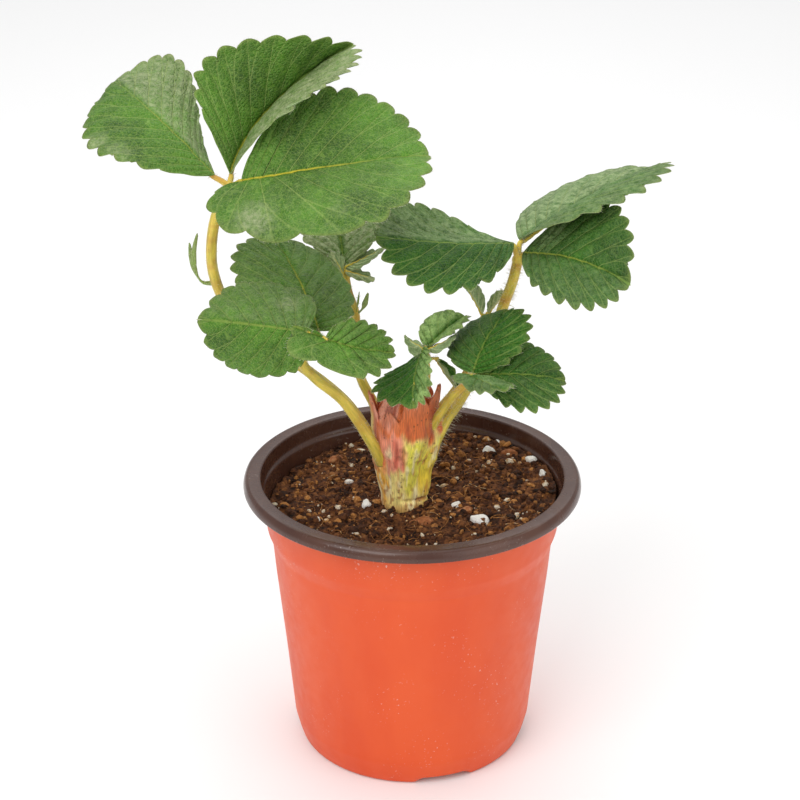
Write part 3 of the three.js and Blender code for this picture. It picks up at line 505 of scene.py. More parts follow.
def add_node(tree, kind, inputs=(), output=0, stops=(), **settings):
    """Adds a node, sets its settings and ramp stops, fills its inputs, listed from the first or by name or
    place, with values, hex colours or links, and returns the output asked for."""
    made = tree.nodes.new("ShaderNode" + kind)
    for name, value in settings.items():
        setattr(made, name, value)
    for name, value in inputs.items() if isinstance(inputs, dict) else enumerate(inputs):
        if isinstance(value, bpy.types.NodeSocket):
            tree.links.new(value, made.inputs[name])
        else:
            made.inputs[name].default_value = rgba(value) if isinstance(value, str) else value
    for number, (position, colour) in enumerate(stops):
        ramp = made.color_ramp.elements
        stop = ramp[number] if number < 2 else ramp.new(position)
        stop.position = position
        stop.color = rgba(colour)
    return made.outputs[output]


def begin(name, **values):
    """A new material, with values set on its shader; returns it, add_node for its tree, and the place on the
    object, in metres, that its patterns are laid out by."""
    material = bpy.data.materials.new(name)
    material.use_nodes = True
    for socket, value in values.items():
        material.node_tree.nodes["Principled BSDF"].inputs[socket.replace("_", " ")].default_value = value
    add = functools.partial(add_node, material.node_tree)
    return material, add, add("TexCoord", output="Object")


def link_up(material, **links):
    """Links outputs to the material's shader; returns the material."""
    tree = material.node_tree
    for socket, value in links.items():
        tree.links.new(value, tree.nodes["Principled BSDF"].inputs[socket.replace("_", " ")])
    return material


def leaf_blade(name, greens, dust, veil):
    """Living leaf blade: a waxy quilted upper face and a matt, paler and greyer lower one. greens are the
    colours of the dark and light patches, dust that of the painted sheen with some dusty bloom, and veil how
    strong the painted glints of hairs and the fine net of veins are."""
    material, add, where = begin(name, IOR=1.42, Specular_IOR_Level=0.26)
    skin = add("UVMap", uv_map="skin")
    under, phase, gap, share, edge, pale, golden = (
        add("Attribute", output="Fac", attribute_name=trait)
        for trait in ("under", "phase", "gap", "share", "edge", "pale", "tint"))
    # green patches about 25 mm wide, broken up finely
    patch = add("TexNoise", {"Vector": where, "Scale": 40.0, "Detail": 9.0, "Roughness": 0.72})
    patch = add("MapRange", (patch, 0.34, 0.66))
    green = add("Mix", {0: patch, 6: greens[0], 7: greens[1]}, **COLOURS)
    # the finest net of veins, 1.3 mm across
    net = add("TexVoronoi", {"Vector": skin, "Scale": 77.0}, feature="DISTANCE_TO_EDGE")
    line = add("MapRange", (net, 0.0, 0.12, 0.38 * veil, 0.0))
    green = add("Mix", {0: line, 6: green, 7: "#84a342"}, **COLOURS)
    # painted glints: specks 0.4 mm wide where short hairs catch the light
    hair_glint = add("TexNoise", {"Vector": where, "Scale": 2300.0, "Detail": 2.0})
    hair_glint = add("MapRange", (hair_glint, 0.54, 0.72, 0.0, 0.33 * veil))
    green = add("Mix", {0: hair_glint, 6: green, 7: "#a4b86c"}, **COLOURS)
    # painted sheen, with some bloom of short hairs and dust, in streaks, as strong as pale says
    streak = add("TexNoise", {"Vector": where, "Scale": 420.0, "Detail": 8.0, "Roughness": 0.75})
    streak = add("MapRange", (streak, 0.38, 0.62, 0.15, 1.0))
    sheen_and_bloom = add("Math", (streak, pale), operation="MULTIPLY")
    green = add("Mix", {0: sheen_and_bloom, 6: green, 7: dust}, **COLOURS)
    # side veins, 0.35 mm wide at the midrib, each sending a fork to the next notch
    from_vein = add("Math", (phase, 0.5), operation="PINGPONG")
    late = add("MapRange", (share, 0.45, 1.0, 0.0, 0.5))
    forked = add("Math", (phase, late), operation="SUBTRACT")
    from_fork = add("Math", (forked, 0.5), operation="PINGPONG")
    nearest = add("Math", (from_vein, from_fork), operation="MINIMUM")
    away = add("Math", (nearest, gap), operation="MULTIPLY")
    thread = add("MapRange", (away, 0.1, 0.34, 1.0, 0.0))
    fade = add("MapRange", (share, 0.1, 1.0, 0.85, 0.3))
    vein = add("Math", (thread, fade), operation="MULTIPLY")
    soft = add("Math", (vein, 0.6), operation="MULTIPLY")
    green = add("Mix", {0: soft, 6: green, 7: "#a3b768"}, **COLOURS)
    # the midrib, 0.9 mm wide, yellow at its foot and greener towards the tip
    place = add("SeparateXYZ", (skin,))
    beside = add("Math", (place,), operation="ABSOLUTE")
    rib = add("MapRange", (beside, 0.0015, 0.0055, 0.85, 0.0))
    ahead = add("SeparateXYZ", (skin,), 1)
    young = add("MapRange", (ahead, 0.2, 0.45, 1.0, 0.1))
    young = add("Math", (young, golden), operation="MULTIPLY")
    yellow = add("Mix", {0: young, 6: "#6f8f42", 7: "#d2c23a"}, **COLOURS)
    rim = add("Math", (edge, 0.5), operation="MULTIPLY")
    green = add("Mix", {0: rim, 6: green, 7: "#8f9a55"}, **COLOURS)
    upper = add("Mix", {0: rib, 6: green, 7: yellow}, **COLOURS)
    lower = add("Mix", {0: patch, 6: "#88a06a", 7: "#a9ba8c"}, **COLOURS)
    lower = add("Mix", {0: line, 6: lower, 7: "#7a9659"}, **COLOURS)
    raised = add("Math", (vein, rib), operation="MAXIMUM")
    lower = add("Mix", {0: raised, 6: lower, 7: "#c3cc98"}, **COLOURS)
    both = add("Mix", {0: under, 6: upper, 7: lower}, **COLOURS)
    gloss = add("MapRange", {0: under, 3: 0.5, 4: 0.75})
    grain = add("TexNoise", {"Vector": where, "Scale": 1100.0, "Detail": 4.0})
    swell = add("MapRange", (net, 0.0, 0.3))
    relief = add("Math", (grain, 0.8, swell), operation="MULTIPLY_ADD")
    relief = add("Math", (relief, vein), operation="SUBTRACT")
    return link_up(material, Base_Color=both, Roughness=gloss,
                   Normal=add("Bump", {"Height": relief, "Strength": 0.9, "Distance": 0.0003}))


def stalk_skin():
    """Leaf stalk: smooth juicy skin, golden yellow-green, flushed brown where tint is high."""
    material, add, where = begin("juicy leaf stalk skin", IOR=1.42, Roughness=0.42, Sheen_Weight=0.2)
    skin = add("UVMap", uv_map="skin")
    tint = add("Attribute", output="Fac", attribute_name="tint")
    # streaks 1 mm wide and 8 mm long
    long = add("Mapping", {"Vector": skin, "Scale": (100.0, 12.0, 1.0)})
    streak = add("TexNoise", {"Vector": long, "Scale": 1.0, "Detail": 4.0})
    patch = add("TexNoise", {"Vector": where, "Scale": 160.0, "Detail": 3.0})
    gold = add("ValToRGB", (streak,), stops=((0.3, "#aea43a"), (0.75, "#f0d05c"), (0.5, "#d8c24a")))
    flush = add("MapRange", (patch, 0.45, 0.75))
    flush = add("Math", (flush, tint), operation="MULTIPLY")
    colour = add("Mix", {0: flush, 6: gold, 7: "#b5702f"}, **COLOURS)
    return link_up(material, Base_Color=colour,
                   Normal=add("Bump", {"Height": streak, "Strength": 0.35, "Distance": 0.0003}))


def plant_hair():
    """Fine plant hairs: pale and glassy, catching the light."""
    material, add, where = begin("pale glassy plant hair", IOR=1.5, Roughness=0.35)
    patch = add("TexNoise", {"Vector": where, "Scale": 400.0})
    colour = add("Mix", {0: patch, 6: "#d9d2b0", 7: "#f3efdf"}, **COLOURS)
    return link_up(material, Base_Color=colour)


def crown_bark():
    """Strawberry crown: soft woody tissue in the colours of its old sheaths, with fine fibres."""
    material, add, where = begin("fibrous strawberry crown", IOR=1.42, Roughness=0.5, Sheen_Weight=0.15)
    paint = add("Attribute", output="Color", attribute_name="colour")
    # fibres 0.4 mm wide running up the crown
    long = add("Mapping", {"Vector": where, "Scale": (2500.0, 2500.0, 220.0)})
    fibre = add("TexNoise", {"Vector": long, "Scale": 1.0, "Detail": 5.0})
    shade = add("MapRange", (fibre, 0.3, 0.7, 0.7, 1.3))
    colour = add("VectorMath", {0: paint, "Scale": shade}, operation="SCALE")
    fleck = add("TexVoronoi", {"Vector": where, "Scale": 420.0})
    spot = add("MapRange", (fleck, 0.1, 0.2, 0.6, 0.0))
    colour = add("Mix", {0: spot, 6: colour, 7: "#5a3216"}, **COLOURS)
    return link_up(material, Base_Color=colour,
                   Normal=add("Bump", {"Height": fibre, "Strength": 0.6, "Distance": 0.0004}))


def potting_mix():
    """Moist peat potting mix: dark crumbs, some dry tan or orange ones; tint picks each crumb's colour."""
    material, add, where = begin("moist peat potting mix", Roughness=0.88, Specular_IOR_Level=0.3)
    tint = add("Attribute", output="Fac", attribute_name="tint")
    # grit about 1 mm across
    grit = add("TexNoise", {"Vector": where, "Scale": 900.0, "Detail": 6.0})
    spread = add("MapRange", (grit, 0.3, 0.7, -0.16, 0.16))
    mixed = add("Math", (tint, spread), operation="ADD")
    colour = add("ValToRGB", (mixed,), stops=((0.0, "#1b0f08"), (1.0, "#dccfba"), (0.25, "#4a2814"), (0.5,
        "#7a4b26"), (0.7, "#a5703c"), (0.82, "#ad7136"), (0.92, "#c7a172")))
    return link_up(material, Base_Color=colour,
                   Normal=add("Bump", {"Height": grit, "Strength": 0.8, "Distance": 0.0008}))


def expanded_perlite():
    """Expanded perlite: white, matt and pitted like popped glass."""
    material, add, where = begin("expanded perlite", Roughness=0.85)
    pits = add("TexVoronoi", {"Vector": where, "Scale": 1400.0})
    dirt = add("TexNoise", {"Vector": where, "Scale": 350.0, "Detail": 4.0})
    smear = add("MapRange", (dirt, 0.55, 0.8, 0.0, 0.6))
    colour = add("Mix", {0: smear, 6: "#ece8e2", 7: "#a58e74"}, **COLOURS)
    return link_up(material, Base_Color=colour,
                   Normal=add("Bump", {"Height": pits, "Strength": 0.6, "Distance": 0.0004}))


def composted_bark():
    """Composted bark chips: tan to orange-brown, with a coarse grain."""
    material, add, where = begin("composted bark", Roughness=0.8)
    tint = add("Attribute", output="Fac", attribute_name="tint")
    grain = add("TexNoise", {"Vector": where, "Scale": 700.0, "Detail": 5.0})
    spread = add("MapRange", (grain, 0.3, 0.7, -0.3, 0.3))
    mixed = add("Math", (tint, spread), operation="ADD")
    colour = add("ValToRGB", (mixed,), stops=((0.0, "#6b3d20"), (1.0, "#c0956a"), (0.5, "#99592c")))
    return link_up(material, Base_Color=colour,
                   Normal=add("Bump", {"Height": grain, "Strength": 0.7, "Distance": 0.0006}))


def nursery_pot_plastic():
    """Two-tone blow-moulded polypropylene: satin orange outside, satin dark brown lip and lining, with
    faint flow marks, scuffs and dust. tint is 1 on the brown."""
    material, add, where = begin("two-tone moulded polypropylene", IOR=1.49, Specular_IOR_Level=0.5)
    tint = add("Attribute", output="Fac", attribute_name="tint")
    # flow marks: broad soft bands, longer down the wall than across
    tall = add("Mapping", {"Vector": where, "Scale": (60.0, 60.0, 22.0)})
    flow = add("TexNoise", {"Vector": tall, "Scale": 1.0, "Detail": 4.0})
    flow = add("MapRange", (flow, 0.35, 0.65))
    orange = add("Mix", {0: flow, 6: "#d84a12", 7: "#de531b"}, **COLOURS)
    brown = add("Mix", {0: flow, 6: "#472b22", 7: "#56382c"}, **COLOURS)
    # dust: pale specks under a millimetre, thickest in patches
    fleck = add("TexNoise", {"Vector": where, "Scale": 1100.0, "Detail": 2.0})
    area = add("TexNoise", {"Vector": where, "Scale": 45.0, "Detail": 2.0})
    fleck = add("MapRange", (fleck, 0.66, 0.72))
    area = add("MapRange", (area, 0.5, 0.7, 0.0, 0.6))
    dust = add("Math", (fleck, area), operation="MULTIPLY")
    colour = add("Mix", {0: tint, 6: orange, 7: brown}, **COLOURS)
    colour = add("Mix", {0: dust, 6: colour, 7: "#d8c9be"}, **COLOURS)
    scuff = add("TexNoise", {"Vector": where, "Scale": 220.0, "Detail": 5.0})
    rough = add("MapRange", (scuff, 0.3, 0.7, 0.38, 0.52))
    polish = add("Math", (tint, -0.2, rough), operation="MULTIPLY_ADD")
    return link_up(material, Base_Color=colour, Roughness=polish,
                   Normal=add("Bump", {"Height": scuff, "Strength": 0.12, "Distance": 0.0003}))


def pale_floor():
    """A plain pale studio floor."""
    material, add, where = begin("pale studio paper", Roughness=0.9, Specular_IOR_Level=0.2)
    soft = add("TexNoise", {"Vector": where, "Scale": 3.0})
    colour = add("Mix", {0: soft, 6: "#fafafa", 7: "#fdfdfd"}, **COLOURS)
    return link_up(material, Base_Color=colour)


# ---- the pot

def round_corners(profile, cut):
    """Each corner of a profile replaced by a short curve: a quadratic from cut before it to cut after."""
    p = np.array(profile, float)
    step = np.diff(p, axis=0)
    length = np.linalg.norm(step, axis=1)[:, None]
    reach = np.minimum(cut, 0.42 * length)
    before = p[1:-1] - step[:-1] / length[:-1] * reach[:-1]
    after = p[1:-1] + step[1:] / length[1:] * reach[1:]
    t = np.linspace(0, 1, 6)[None, :, None]
    curve = (1 - t) ** 2 * before[:, None] + 2 * t * (1 - t) * p[1:-1, None] + t ** 2 * after[:, None]
    return np.vstack([p[:1], curve.reshape(-1, 2), p[-1:]])


def build_pot(plastic):
    """The pot: its rounded profile turned about the axis, with the foot raised into low drain arches."""
    profile = [(AXIS_RADIUS, FLOOR), (FOOT_INNER, FLOOR), (FOOT_INNER + 0.6, 0), *OUTER_WALL, *LIP,
               *INNER_WALL, (AXIS_RADIUS, FLOOR + WALL)]
    line = round_corners(profile, CORNER_CUT)
    radius, height = line[:, :1], line[:, 1:]
    azimuth = full_turn(POT_SIDES)[None]
    arch = np.zeros_like(azimuth)
    for middle, width in ARCHES:
        away = apart(azimuth, middle * DEGREE)
        inside = FOOT_OUTER * (np.sin(width / 2 * DEGREE) - np.sin(np.minimum(away, np.pi / 2)))
        rise = 0.4 + (ARCH_HEIGHT - 0.4) * (1 - (1 - np.clip(inside / 5, 0, 1)) ** 2)
        arch = np.where(inside > 0, rise, arch)
    height = np.maximum(np.broadcast_to(height, (len(line), POT_SIDES)), np.where(radius > 37, arch, 0))
    rings = stacked(radius * np.sin(azimuth), -radius * np.cos(azimuth), height)
    lip_start = int(np.argmax((line[:, 1] > 102) & (line[:, 0] > 54)))
    brown = (np.arange(len(line)) >= lip_start).astype(float)[:, None]
    pot = make_piece("nursery_pot", [(turned(rings, tint=brown), plastic)], ["pot"])
    angle = (np.arange(DRAIN_HOLES) + 0.5) * 2 * np.pi / DRAIN_HOLES
    cutters = [(tube([(DRAIN_CIRCLE * np.cos(a), DRAIN_CIRCLE * np.sin(a), z) for z in (1.0, 3.0, 5.0, 8.0)],
                     DRAIN_RADIUS, DRAIN_SIDES), plastic) for a in angle]
    cut_holes(pot, cutters)


def cut_holes(piece, cutters):
    """Takes the cutters' shapes out of a piece, then removes the cutters."""
    tool = make_piece("hole_cutter", cutters)
    boolean = piece.modifiers.new("holes", "BOOLEAN")
    boolean.operation = "DIFFERENCE"
    boolean.solver = "EXACT"
    boolean.object = tool
    view = bpy.context.evaluated_depsgraph_get()
    cut = bpy.data.meshes.new_from_object(piece.evaluated_get(view))
    piece.modifiers.clear()
    old = piece.data
    piece.data = cut
    bpy.data.meshes.remove(old)
    mesh = tool.data
    bpy.data.objects.remove(tool)
    bpy.data.meshes.remove(mesh)


# ---- soil

def soil_top(x, y):
    """The soil's height, as in the part's source: a gentle slope with lumps from three crossed waves."""
    lumps = (np.sin(0.61 * x + 1.3) * np.cos(0.53 * y - 0.4) + 0.7 * np.sin(0.97 * y + 0.38 * x)
             + 0.5 * np.cos(1.31 * x - 0.83 * y))
    return SOIL_HEIGHT + SOIL_SLOPE * x + 0.45 * SOIL_LUMP * lumps


def crumbly_top(x, y):
    """The soil's surface: its slope and lumps, with crumbs from ridged noise at three sizes."""
    flat = stacked(x, y, 0.0)
    crumbs = (1.3 * (0.5 - np.abs(noise(flat, 4.2, 3))) + 0.8 * (0.5 - np.abs(noise(flat, 1.9, 4)))
              + 0.4 * noise(flat, 0.9, 5))
    return soil_top(x, y) + crumbs


def build_soil(mix):
    """The soil body with a crumbly top, and loose crumbs and fibres lying on it."""
    rng = np.random.default_rng(7)
    angle = full_turn(SOIL_SIDES)[None]
    wall = np.array(INNER_WALL)[::-1]
    heights = np.array([FLOOR + WALL + GAP, 20, 37.8, 60, 80, 85])
    side = np.interp(heights, wall[:, 1], wall[:, 0]) - GAP
    radii = np.concatenate([[AXIS_RADIUS], side, np.linspace(SOIL_RADIUS, 0.4, 120)])[:, None]
    x, y = radii * np.cos(angle), radii * np.sin(angle)
    z = crumbly_top(x, y)
    z[0] = heights[0]
    z[1:1 + len(heights)] = heights[:, None]
    rings = stacked(x, y, z)
    body = turned(rings, tint=0.3 + 0.22 * noise(rings, 3.0, 9) + 0.16 * noise(rings, 1.1, 10))

    away = CRUMB_RADIUS * np.sqrt(rng.uniform(size=CRUMBS))
    spin = rng.uniform(0, 2 * np.pi, CRUMBS)
    x, y = away * np.cos(spin), away * np.sin(spin)
    clear = np.hypot(x - CROWN_X, y - CROWN_Y) > CROWN_CLEAR
    x, y = x[clear], y[clear]
    size = 0.38 + 1.1 * rng.uniform(size=len(x)) ** 3.6
    halves = size[:, None] * rng.uniform(0.45, 1.45, size=(len(x), 3)) * [1, 1, 0.7]
    centres = stacked(x, y, crumbly_top(x, y) + 0.25 * size)
    shade = rng.uniform(size=len(x))
    tones = np.where(shade < 0.7, 0.05 + 0.55 * shade,
                     np.where(shade < 0.97, 0.4 + 0.45 * (shade - 0.7) / 0.27, 1.0))
    crumbs = stones(centres, halves, rng.uniform(0, np.pi, len(x)), rng, rows=3, columns=5, tint=tones)

    parts = [(body, mix), (crumbs, mix)]
    for _ in range(FIBRES):
        start = rng.uniform(-36, 36, 2)
        if not 8 < np.hypot(start[0] - CROWN_X, start[1] - CROWN_Y) < 46 or np.hypot(*start) > 44:
            continue
        heading = rng.uniform(0, 2 * np.pi)
        length = rng.uniform(2.5, 9)
        t = np.linspace(0, 1, 6)
        turn = heading + rng.uniform(-1.3, 1.3) * t
        px = start[0] + length * t * np.cos(turn)
        py = start[1] + length * t * np.sin(turn)
        lift = 0.5 + rng.uniform(0.2, 1.6) * np.sin(np.pi * t) * rng.uniform(0.2, 1)
        ground = crumbly_top(px, py)
        strand = stacked(px, py, ground * 0.4 + ground.mean() * 0.6 + lift)
        thick = rng.uniform(0.09, 0.24)
        parts.append((tube(strand, thick * (1.1 - 0.6 * t), 4, squash=0.7, tint=rng.uniform(0.3, 0.9)), mix))
    make_piece("potting_soil", parts, ["soil"], facet=(1,))


def build_loose_bits(perlite, bark):
    """The granules and chips that show on the soil, where the part's source lays them."""
    rng = np.random.default_rng(21)
    for name, slot, rows, material in (("perlite_granule", "perlite", PERLITE, perlite),
                                       ("bark_chip", "bark", BARK, bark)):
        place = np.array([(x, y, soil_top(x, y) + 0.3 * half[2]) for x, y, half, _ in rows])
        halves = np.array([half for _, _, half, _ in rows]) * 1.02
        turns = np.array([turn for *_, turn in rows]) * DEGREE
        for number in range(len(rows)):
            one = slice(number, number + 1)
            body = stones(place[one], halves[one], turns[one], rng, facets=12, rows=17, columns=24,
                          sharp=14.0, tint=rng.uniform(0.2, 0.9))
            at = body["points"]
            swell = noise(at, 1.3, number)[:, None] * 0.14 + noise(at, 0.5, 8)[:, None] * 0.06
            body["points"] += unit(at - place[number]) * swell
            make_piece(f"{name}_{number + 1}_fine", [(body, material)], [f"{name}_{number + 1}"])


# ---- the crown

def window(value, low, high, soft):
    """1 between low and high and 0 outside, fading by an S-shaped cubic over soft on each side of both."""
    return smoothstep(low - soft, low + soft, value) * (1 - smoothstep(high - soft, high + soft, value))


def crown_colour(angle, height):
    """Colours of the crown by azimuth and height: cream at the foot, yellow-green on the right, pink at the
    left, red-orange sheaths above, with an orange ridge under each stalk."""
    at = stacked(np.cos(angle) * 9, np.sin(angle) * 9, height * 0.6)
    fine = at * [1.0, 1.0, 0.35]
    wobble = noise(at, 5.0, 31)
    turn = (angle / DEGREE) % 360 + 11 * wobble + 7 * noise(fine, 1.1, 34)
    level = height + 4 * noise(at, 4.0, 32) + 5 * noise(fine, 1.3, 35)
    streak = smoothstep(0.15, 0.6, noise(fine, 0.9, 36))

    colour = np.broadcast_to(linear("#f6e088"), (*angle.shape, 3)).copy()
    for hex_colour, weight in (
            ("#eee458", window(turn, 268, 352, 10) * window(level, 104, 122, 3)),
            ("#e0b46c", 0.8 * window(turn, 20, 180, 14) * window(level, 90, 140, 4)),
            ("#ee8c78", 0.9 * window(turn, 196, 266, 6) * window(level, 108, 126, 3)),
            ("#cf5620", 0.92 * smoothstep(121.5, 127, level)),
            ("#e9a48e", 0.85 * window(turn, 190, 246, 7) * smoothstep(126, 131, level)),
            ("#eca62c", 0.9 * window(turn, 184, 218, 6) * window(level, 95, 118, 4)),
            ("#e8c63c", 0.8 * window(turn, 318, 352, 8) * window(level, 96, 116, 4)),
            ("#a5602c", 0.8 * window(turn, 292, 345, 6) * window(height, 97.2, 98.8, 0.5)),
            ("#a8652c", 0.65 * (1 - smoothstep(94.0, 97.5, height + 1.8 * wobble))),
            ("#c44f3c", 0.6 * streak * window(level, 103, 122, 4)),
            ("#f8eab4", 0.75 * smoothstep(0.15, 0.5, noise(fine, 1.2, 37)) * window(level, 96, 120, 3)),
            ("#9c5a2a", 0.7 * smoothstep(0.35, 0.6, noise(at, 0.9, 38)) * (1 - smoothstep(101, 107, height))),
            ("#96391f", 0.65 * smoothstep(0.25, 0.65, noise(fine, 1.6, 33)) * smoothstep(110, 125, level))):
        weight = np.clip(weight, 0, 1)[..., None]
        colour = colour * (1 - weight) + linear(hex_colour) * weight
    return colour


def round_crown(radius, angle, height):
    """Points at a distance and azimuth from the crown's axis."""
    return stacked(CROWN_X + radius * np.cos(angle), CROWN_Y + radius * np.sin(angle), height)


def all_over(paint):
    """The colours of a turned body's points, from those of its rings."""
    return np.vstack([paint.reshape(-1, 3), paint[0].mean(axis=0), paint[-1].mean(axis=0)])


def build_crown(bark):
    """The crown: a stem swelling upwards with the ridges that run down from the stalks, and its sheath
    scales, each a thin curved plate ending in a torn tip."""
    sides, rows = 220, 130
    angle = full_turn(sides)[None]
    height = np.linspace(82, 137.5, rows)[:, None]
    radius = np.interp(height, CROWN_PROFILE[:, 0], CROWN_PROFILE[:, 1])
    wrap = np.clip((height - 92) / 20, 0, 1)
    swell = 1 + wrap * (0.05 * np.cos(3 * angle + 0.05 * height) + 0.035 * np.cos(5 * angle - 0.09 * height))
    ridges = np.zeros((rows, sides))
    for leaf in LEAVES.values():
        foot = np.array(leaf["stalk"][0])
        middle = np.arctan2(foot[1] - CROWN_Y, foot[0] - CROWN_X)
        away = apart(angle, middle)
        fade = smoothstep(90, foot[2] - 4, height) * (1 - smoothstep(foot[2], foot[2] + 10, height))
        ridges += 1.9 * bell(away, 0.26) * fade
    at = stacked(np.cos(angle) * 10, np.sin(angle) * 10, height * 0.35)
    wrinkle = 0.6 * noise(at, 1.7, 41) + 0.4 * noise(at, 0.8, 42)
    fold = -0.9 * bell(height - 98, 0.7) * smoothstep(0.4, 0.7, np.cos(angle + 0.7))
    fold = fold - 2.6 * smoothstep(0.1, 0.9, np.cos(angle)) * bell(height - 110, 7.5)
    out = radius * swell + ridges + wrinkle * wrap + fold + 1.2 * bell(height - 94, 3)
    body = turned(round_crown(out, angle, height))
    body["colour"] = all_over(crown_colour(*np.broadcast_arrays(angle, height)))
    scales = [(sheath_scale(number, *scale), bark) for number, scale in enumerate(SCALES)]
    make_piece("crown_and_sheaths", [(body, bark), *scales], ["crown"])


def sheath_scale(number, azimuth, foot, tip, half_angle, flare):
    """One sheath: rings that run across its outer face and back along its inner one, standing further off
    the crown and narrowing as they rise, the top edge torn by noise."""
    rows, columns = 34, 22
    rise = np.linspace(0, 1, rows)[:, None]
    across = np.concatenate([np.linspace(-1, 1, columns), np.linspace(1, -1, columns)])[None]
    outer = np.concatenate([np.ones(columns), np.zeros(columns)])[None]
    ragged = noise(stacked(rise * 9, np.sign(across) * 3.0, number * 5.0), 1.0, 52)
    spread = half_angle * (np.sqrt(1 - 0.97 * rise ** 2.4) + 0.22 * ragged * rise)
    torn = noise(stacked(across * 4, number * 7.0, 0.0), 0.5, 50)
    height = foot + (tip - foot) * rise + 2.2 * torn * rise ** 4
    angle = (azimuth + spread * across) * DEGREE
    body = np.interp(np.minimum(height, 129), CROWN_PROFILE[:, 0], CROWN_PROFILE[:, 1])
    crease = (noise(stacked(across * 5, height * 0.25, number * 3.0), 1.0, 51)
              + 0.5 * noise(stacked(across * 12, height * 0.5, number * 3.0), 1.0, 53))
    proud = 1.25 * smoothstep(0, 0.4, rise) - 0.35
    radius = body + proud + 0.7 * flare * rise ** 2 - 0.8 * across ** 2 * (1 - 0.6 * rise) + 0.4 * crease
    radius = radius - (1 - outer) * (0.4 + 2.4 * (1 - rise) ** 2)
    part = turned(round_crown(radius, angle, height))
    dry = (smoothstep(0.6, 1, rise) * 0.5)[..., None]
    part["colour"] = all_over(crown_colour(angle, height) * (1 - dry) + linear("#dd8a63") * dry)
    return part


# ---- stalks

def hairs_along(line, radii, per_mm, length, rng):
    """Hairs standing out all round a stalk, leaning a little towards its tip."""
    count = int(per_mm * length_of(line))
    at = rng.uniform(size=count)
    share = np.linspace(0, 1, len(line))
    centre = np.stack([np.interp(at, share, line[:, k]) for k in range(3)], -1)
    direction = unit(np.stack([np.interp(at, share, np.gradient(line[:, k])) for k in range(3)], -1))
    random = rng.normal(size=(count, 3))
    out = unit(random - direction * np.sum(random * direction, axis=1, keepdims=True))
    radius = np.interp(at, share, radii)[:, None]
    lengths = length * rng.uniform(0.5, 1.15, count)
    lean = out + direction * rng.uniform(-0.25, 0.5, (count, 1))
    return hairs(centre + out * radius * 0.96, lean, lengths, STALK_HAIR, rng.normal(size=(count, 3)) * 0.16)


def build_stalk(letter, leaf, skin, hair, blade_material):
    """A leaf stalk: a round body along its curve, a little ribbed, wider at its foot, with hairs."""
    rng = np.random.default_rng(100 + ord(letter))
    hub = np.array(leaf["hub"], float)
    back = unit(np.array(leaf["stalk"][-1]) - hub)
    line = smooth_line([*leaf["stalk"], hub + back * HUB_SEAT], STALK_STEPS)
    share = np.linspace(0, 1, len(line))
    radii = leaf["radius"][0] + (leaf["radius"][1] - leaf["radius"][0]) * share
    radii = radii * (1 + 0.22 * np.exp(-share * length_of(line) / 5)) + 0.05 * noise(line, 4.0, 61)
    flush = np.clip(0.35 + 0.5 * smoothstep(0.3, 1, share) + 0.2 * noise(line, 9.0, 62), 0, 1)
    body = tube(line, radii, STALK_SIDES, tint=flush[:, None])
    fine = hairs_along(line, radii, HAIR_COUNT[letter], HAIR_LENGTH[letter], rng)
    parts = [(body, skin), (fine, hair)]
    for bract in leaf["bracts"]:
        spine = smooth_line(bract, 24)
        grow = np.linspace(0, 1, len(spine))
        width = (0.15 + 0.8 * smoothstep(0.3, 0.6, grow) * np.sqrt(1 - grow ** 3)
                 + 0.4 * smoothstep(0.25, 0, grow) + 0.2 * smoothstep(0.9, 0.5, grow))
        parts.append((tube(spine, width, 12, squash=0.4, tint=0.2, pale=0.9), blade_material))
        parts.append((hairs_along(spine, width * 0.7, 4, 1.0, rng), hair))
    make_piece(f"leaf_{letter}_stalk_fine", parts, [f"leaf_{letter}_stalk"])


# ---- leaflets

def blade_point(leaflet, side, along, out):
    """Where the point at (along, out) of a half blade lies. The midrib is an arc of droop degrees that
    swings sideways as a parabola and twists evenly; each half rises from it at its fold and curls by
    its cup towards the margin. side is 1 on the left and -1 on the right."""
    length = leaflet["length"]
    half = 0 if side > 0 else 1
    fold, cup = leaflet["fold"][half] * DEGREE, leaflet["cup"][half] * DEGREE
    droop = leaflet["droop"] * DEGREE + 1e-4
    heading, pitch, roll = (leaflet[k] * DEGREE for k in ("heading", "pitch", "roll"))
    ahead = np.array([np.cos(pitch) * np.cos(heading), np.cos(pitch) * np.sin(heading), np.sin(pitch)])
    level = np.array([-np.sin(heading), np.cos(heading), 0])
    square = np.cross(ahead, level)
    across = level * np.cos(roll) + square * np.sin(roll)
    up = square * np.cos(roll) - level * np.sin(roll)
    along, out = np.asarray(along, float)[..., None], np.asarray(out, float)[..., None]
    forward = np.maximum(0, along)
    bend = droop * forward / length
    centre = (np.array(leaflet["base"]) + ahead * np.where(along > 0, length / droop * np.sin(bend), along)
              + up * (length / droop) * (np.cos(bend) - 1)
              + across * leaflet["swing"] * DEGREE * forward ** 2 / (2 * length))
    top = up * np.cos(bend) + ahead * np.sin(bend)
    turn = leaflet["twist"] * DEGREE * along / length
    flat = across * np.cos(turn) + top * np.sin(turn)
    raised = top * np.cos(turn) - across * np.sin(turn)
    curl = cup * out / leaflet["width"][half] + 1e-6
    rise = fold + curl / 2
    chord = out * np.sin(curl / 2) / (curl / 2)
    return centre + flat * side * chord * np.cos(rise) + raised * chord * np.sin(rise)


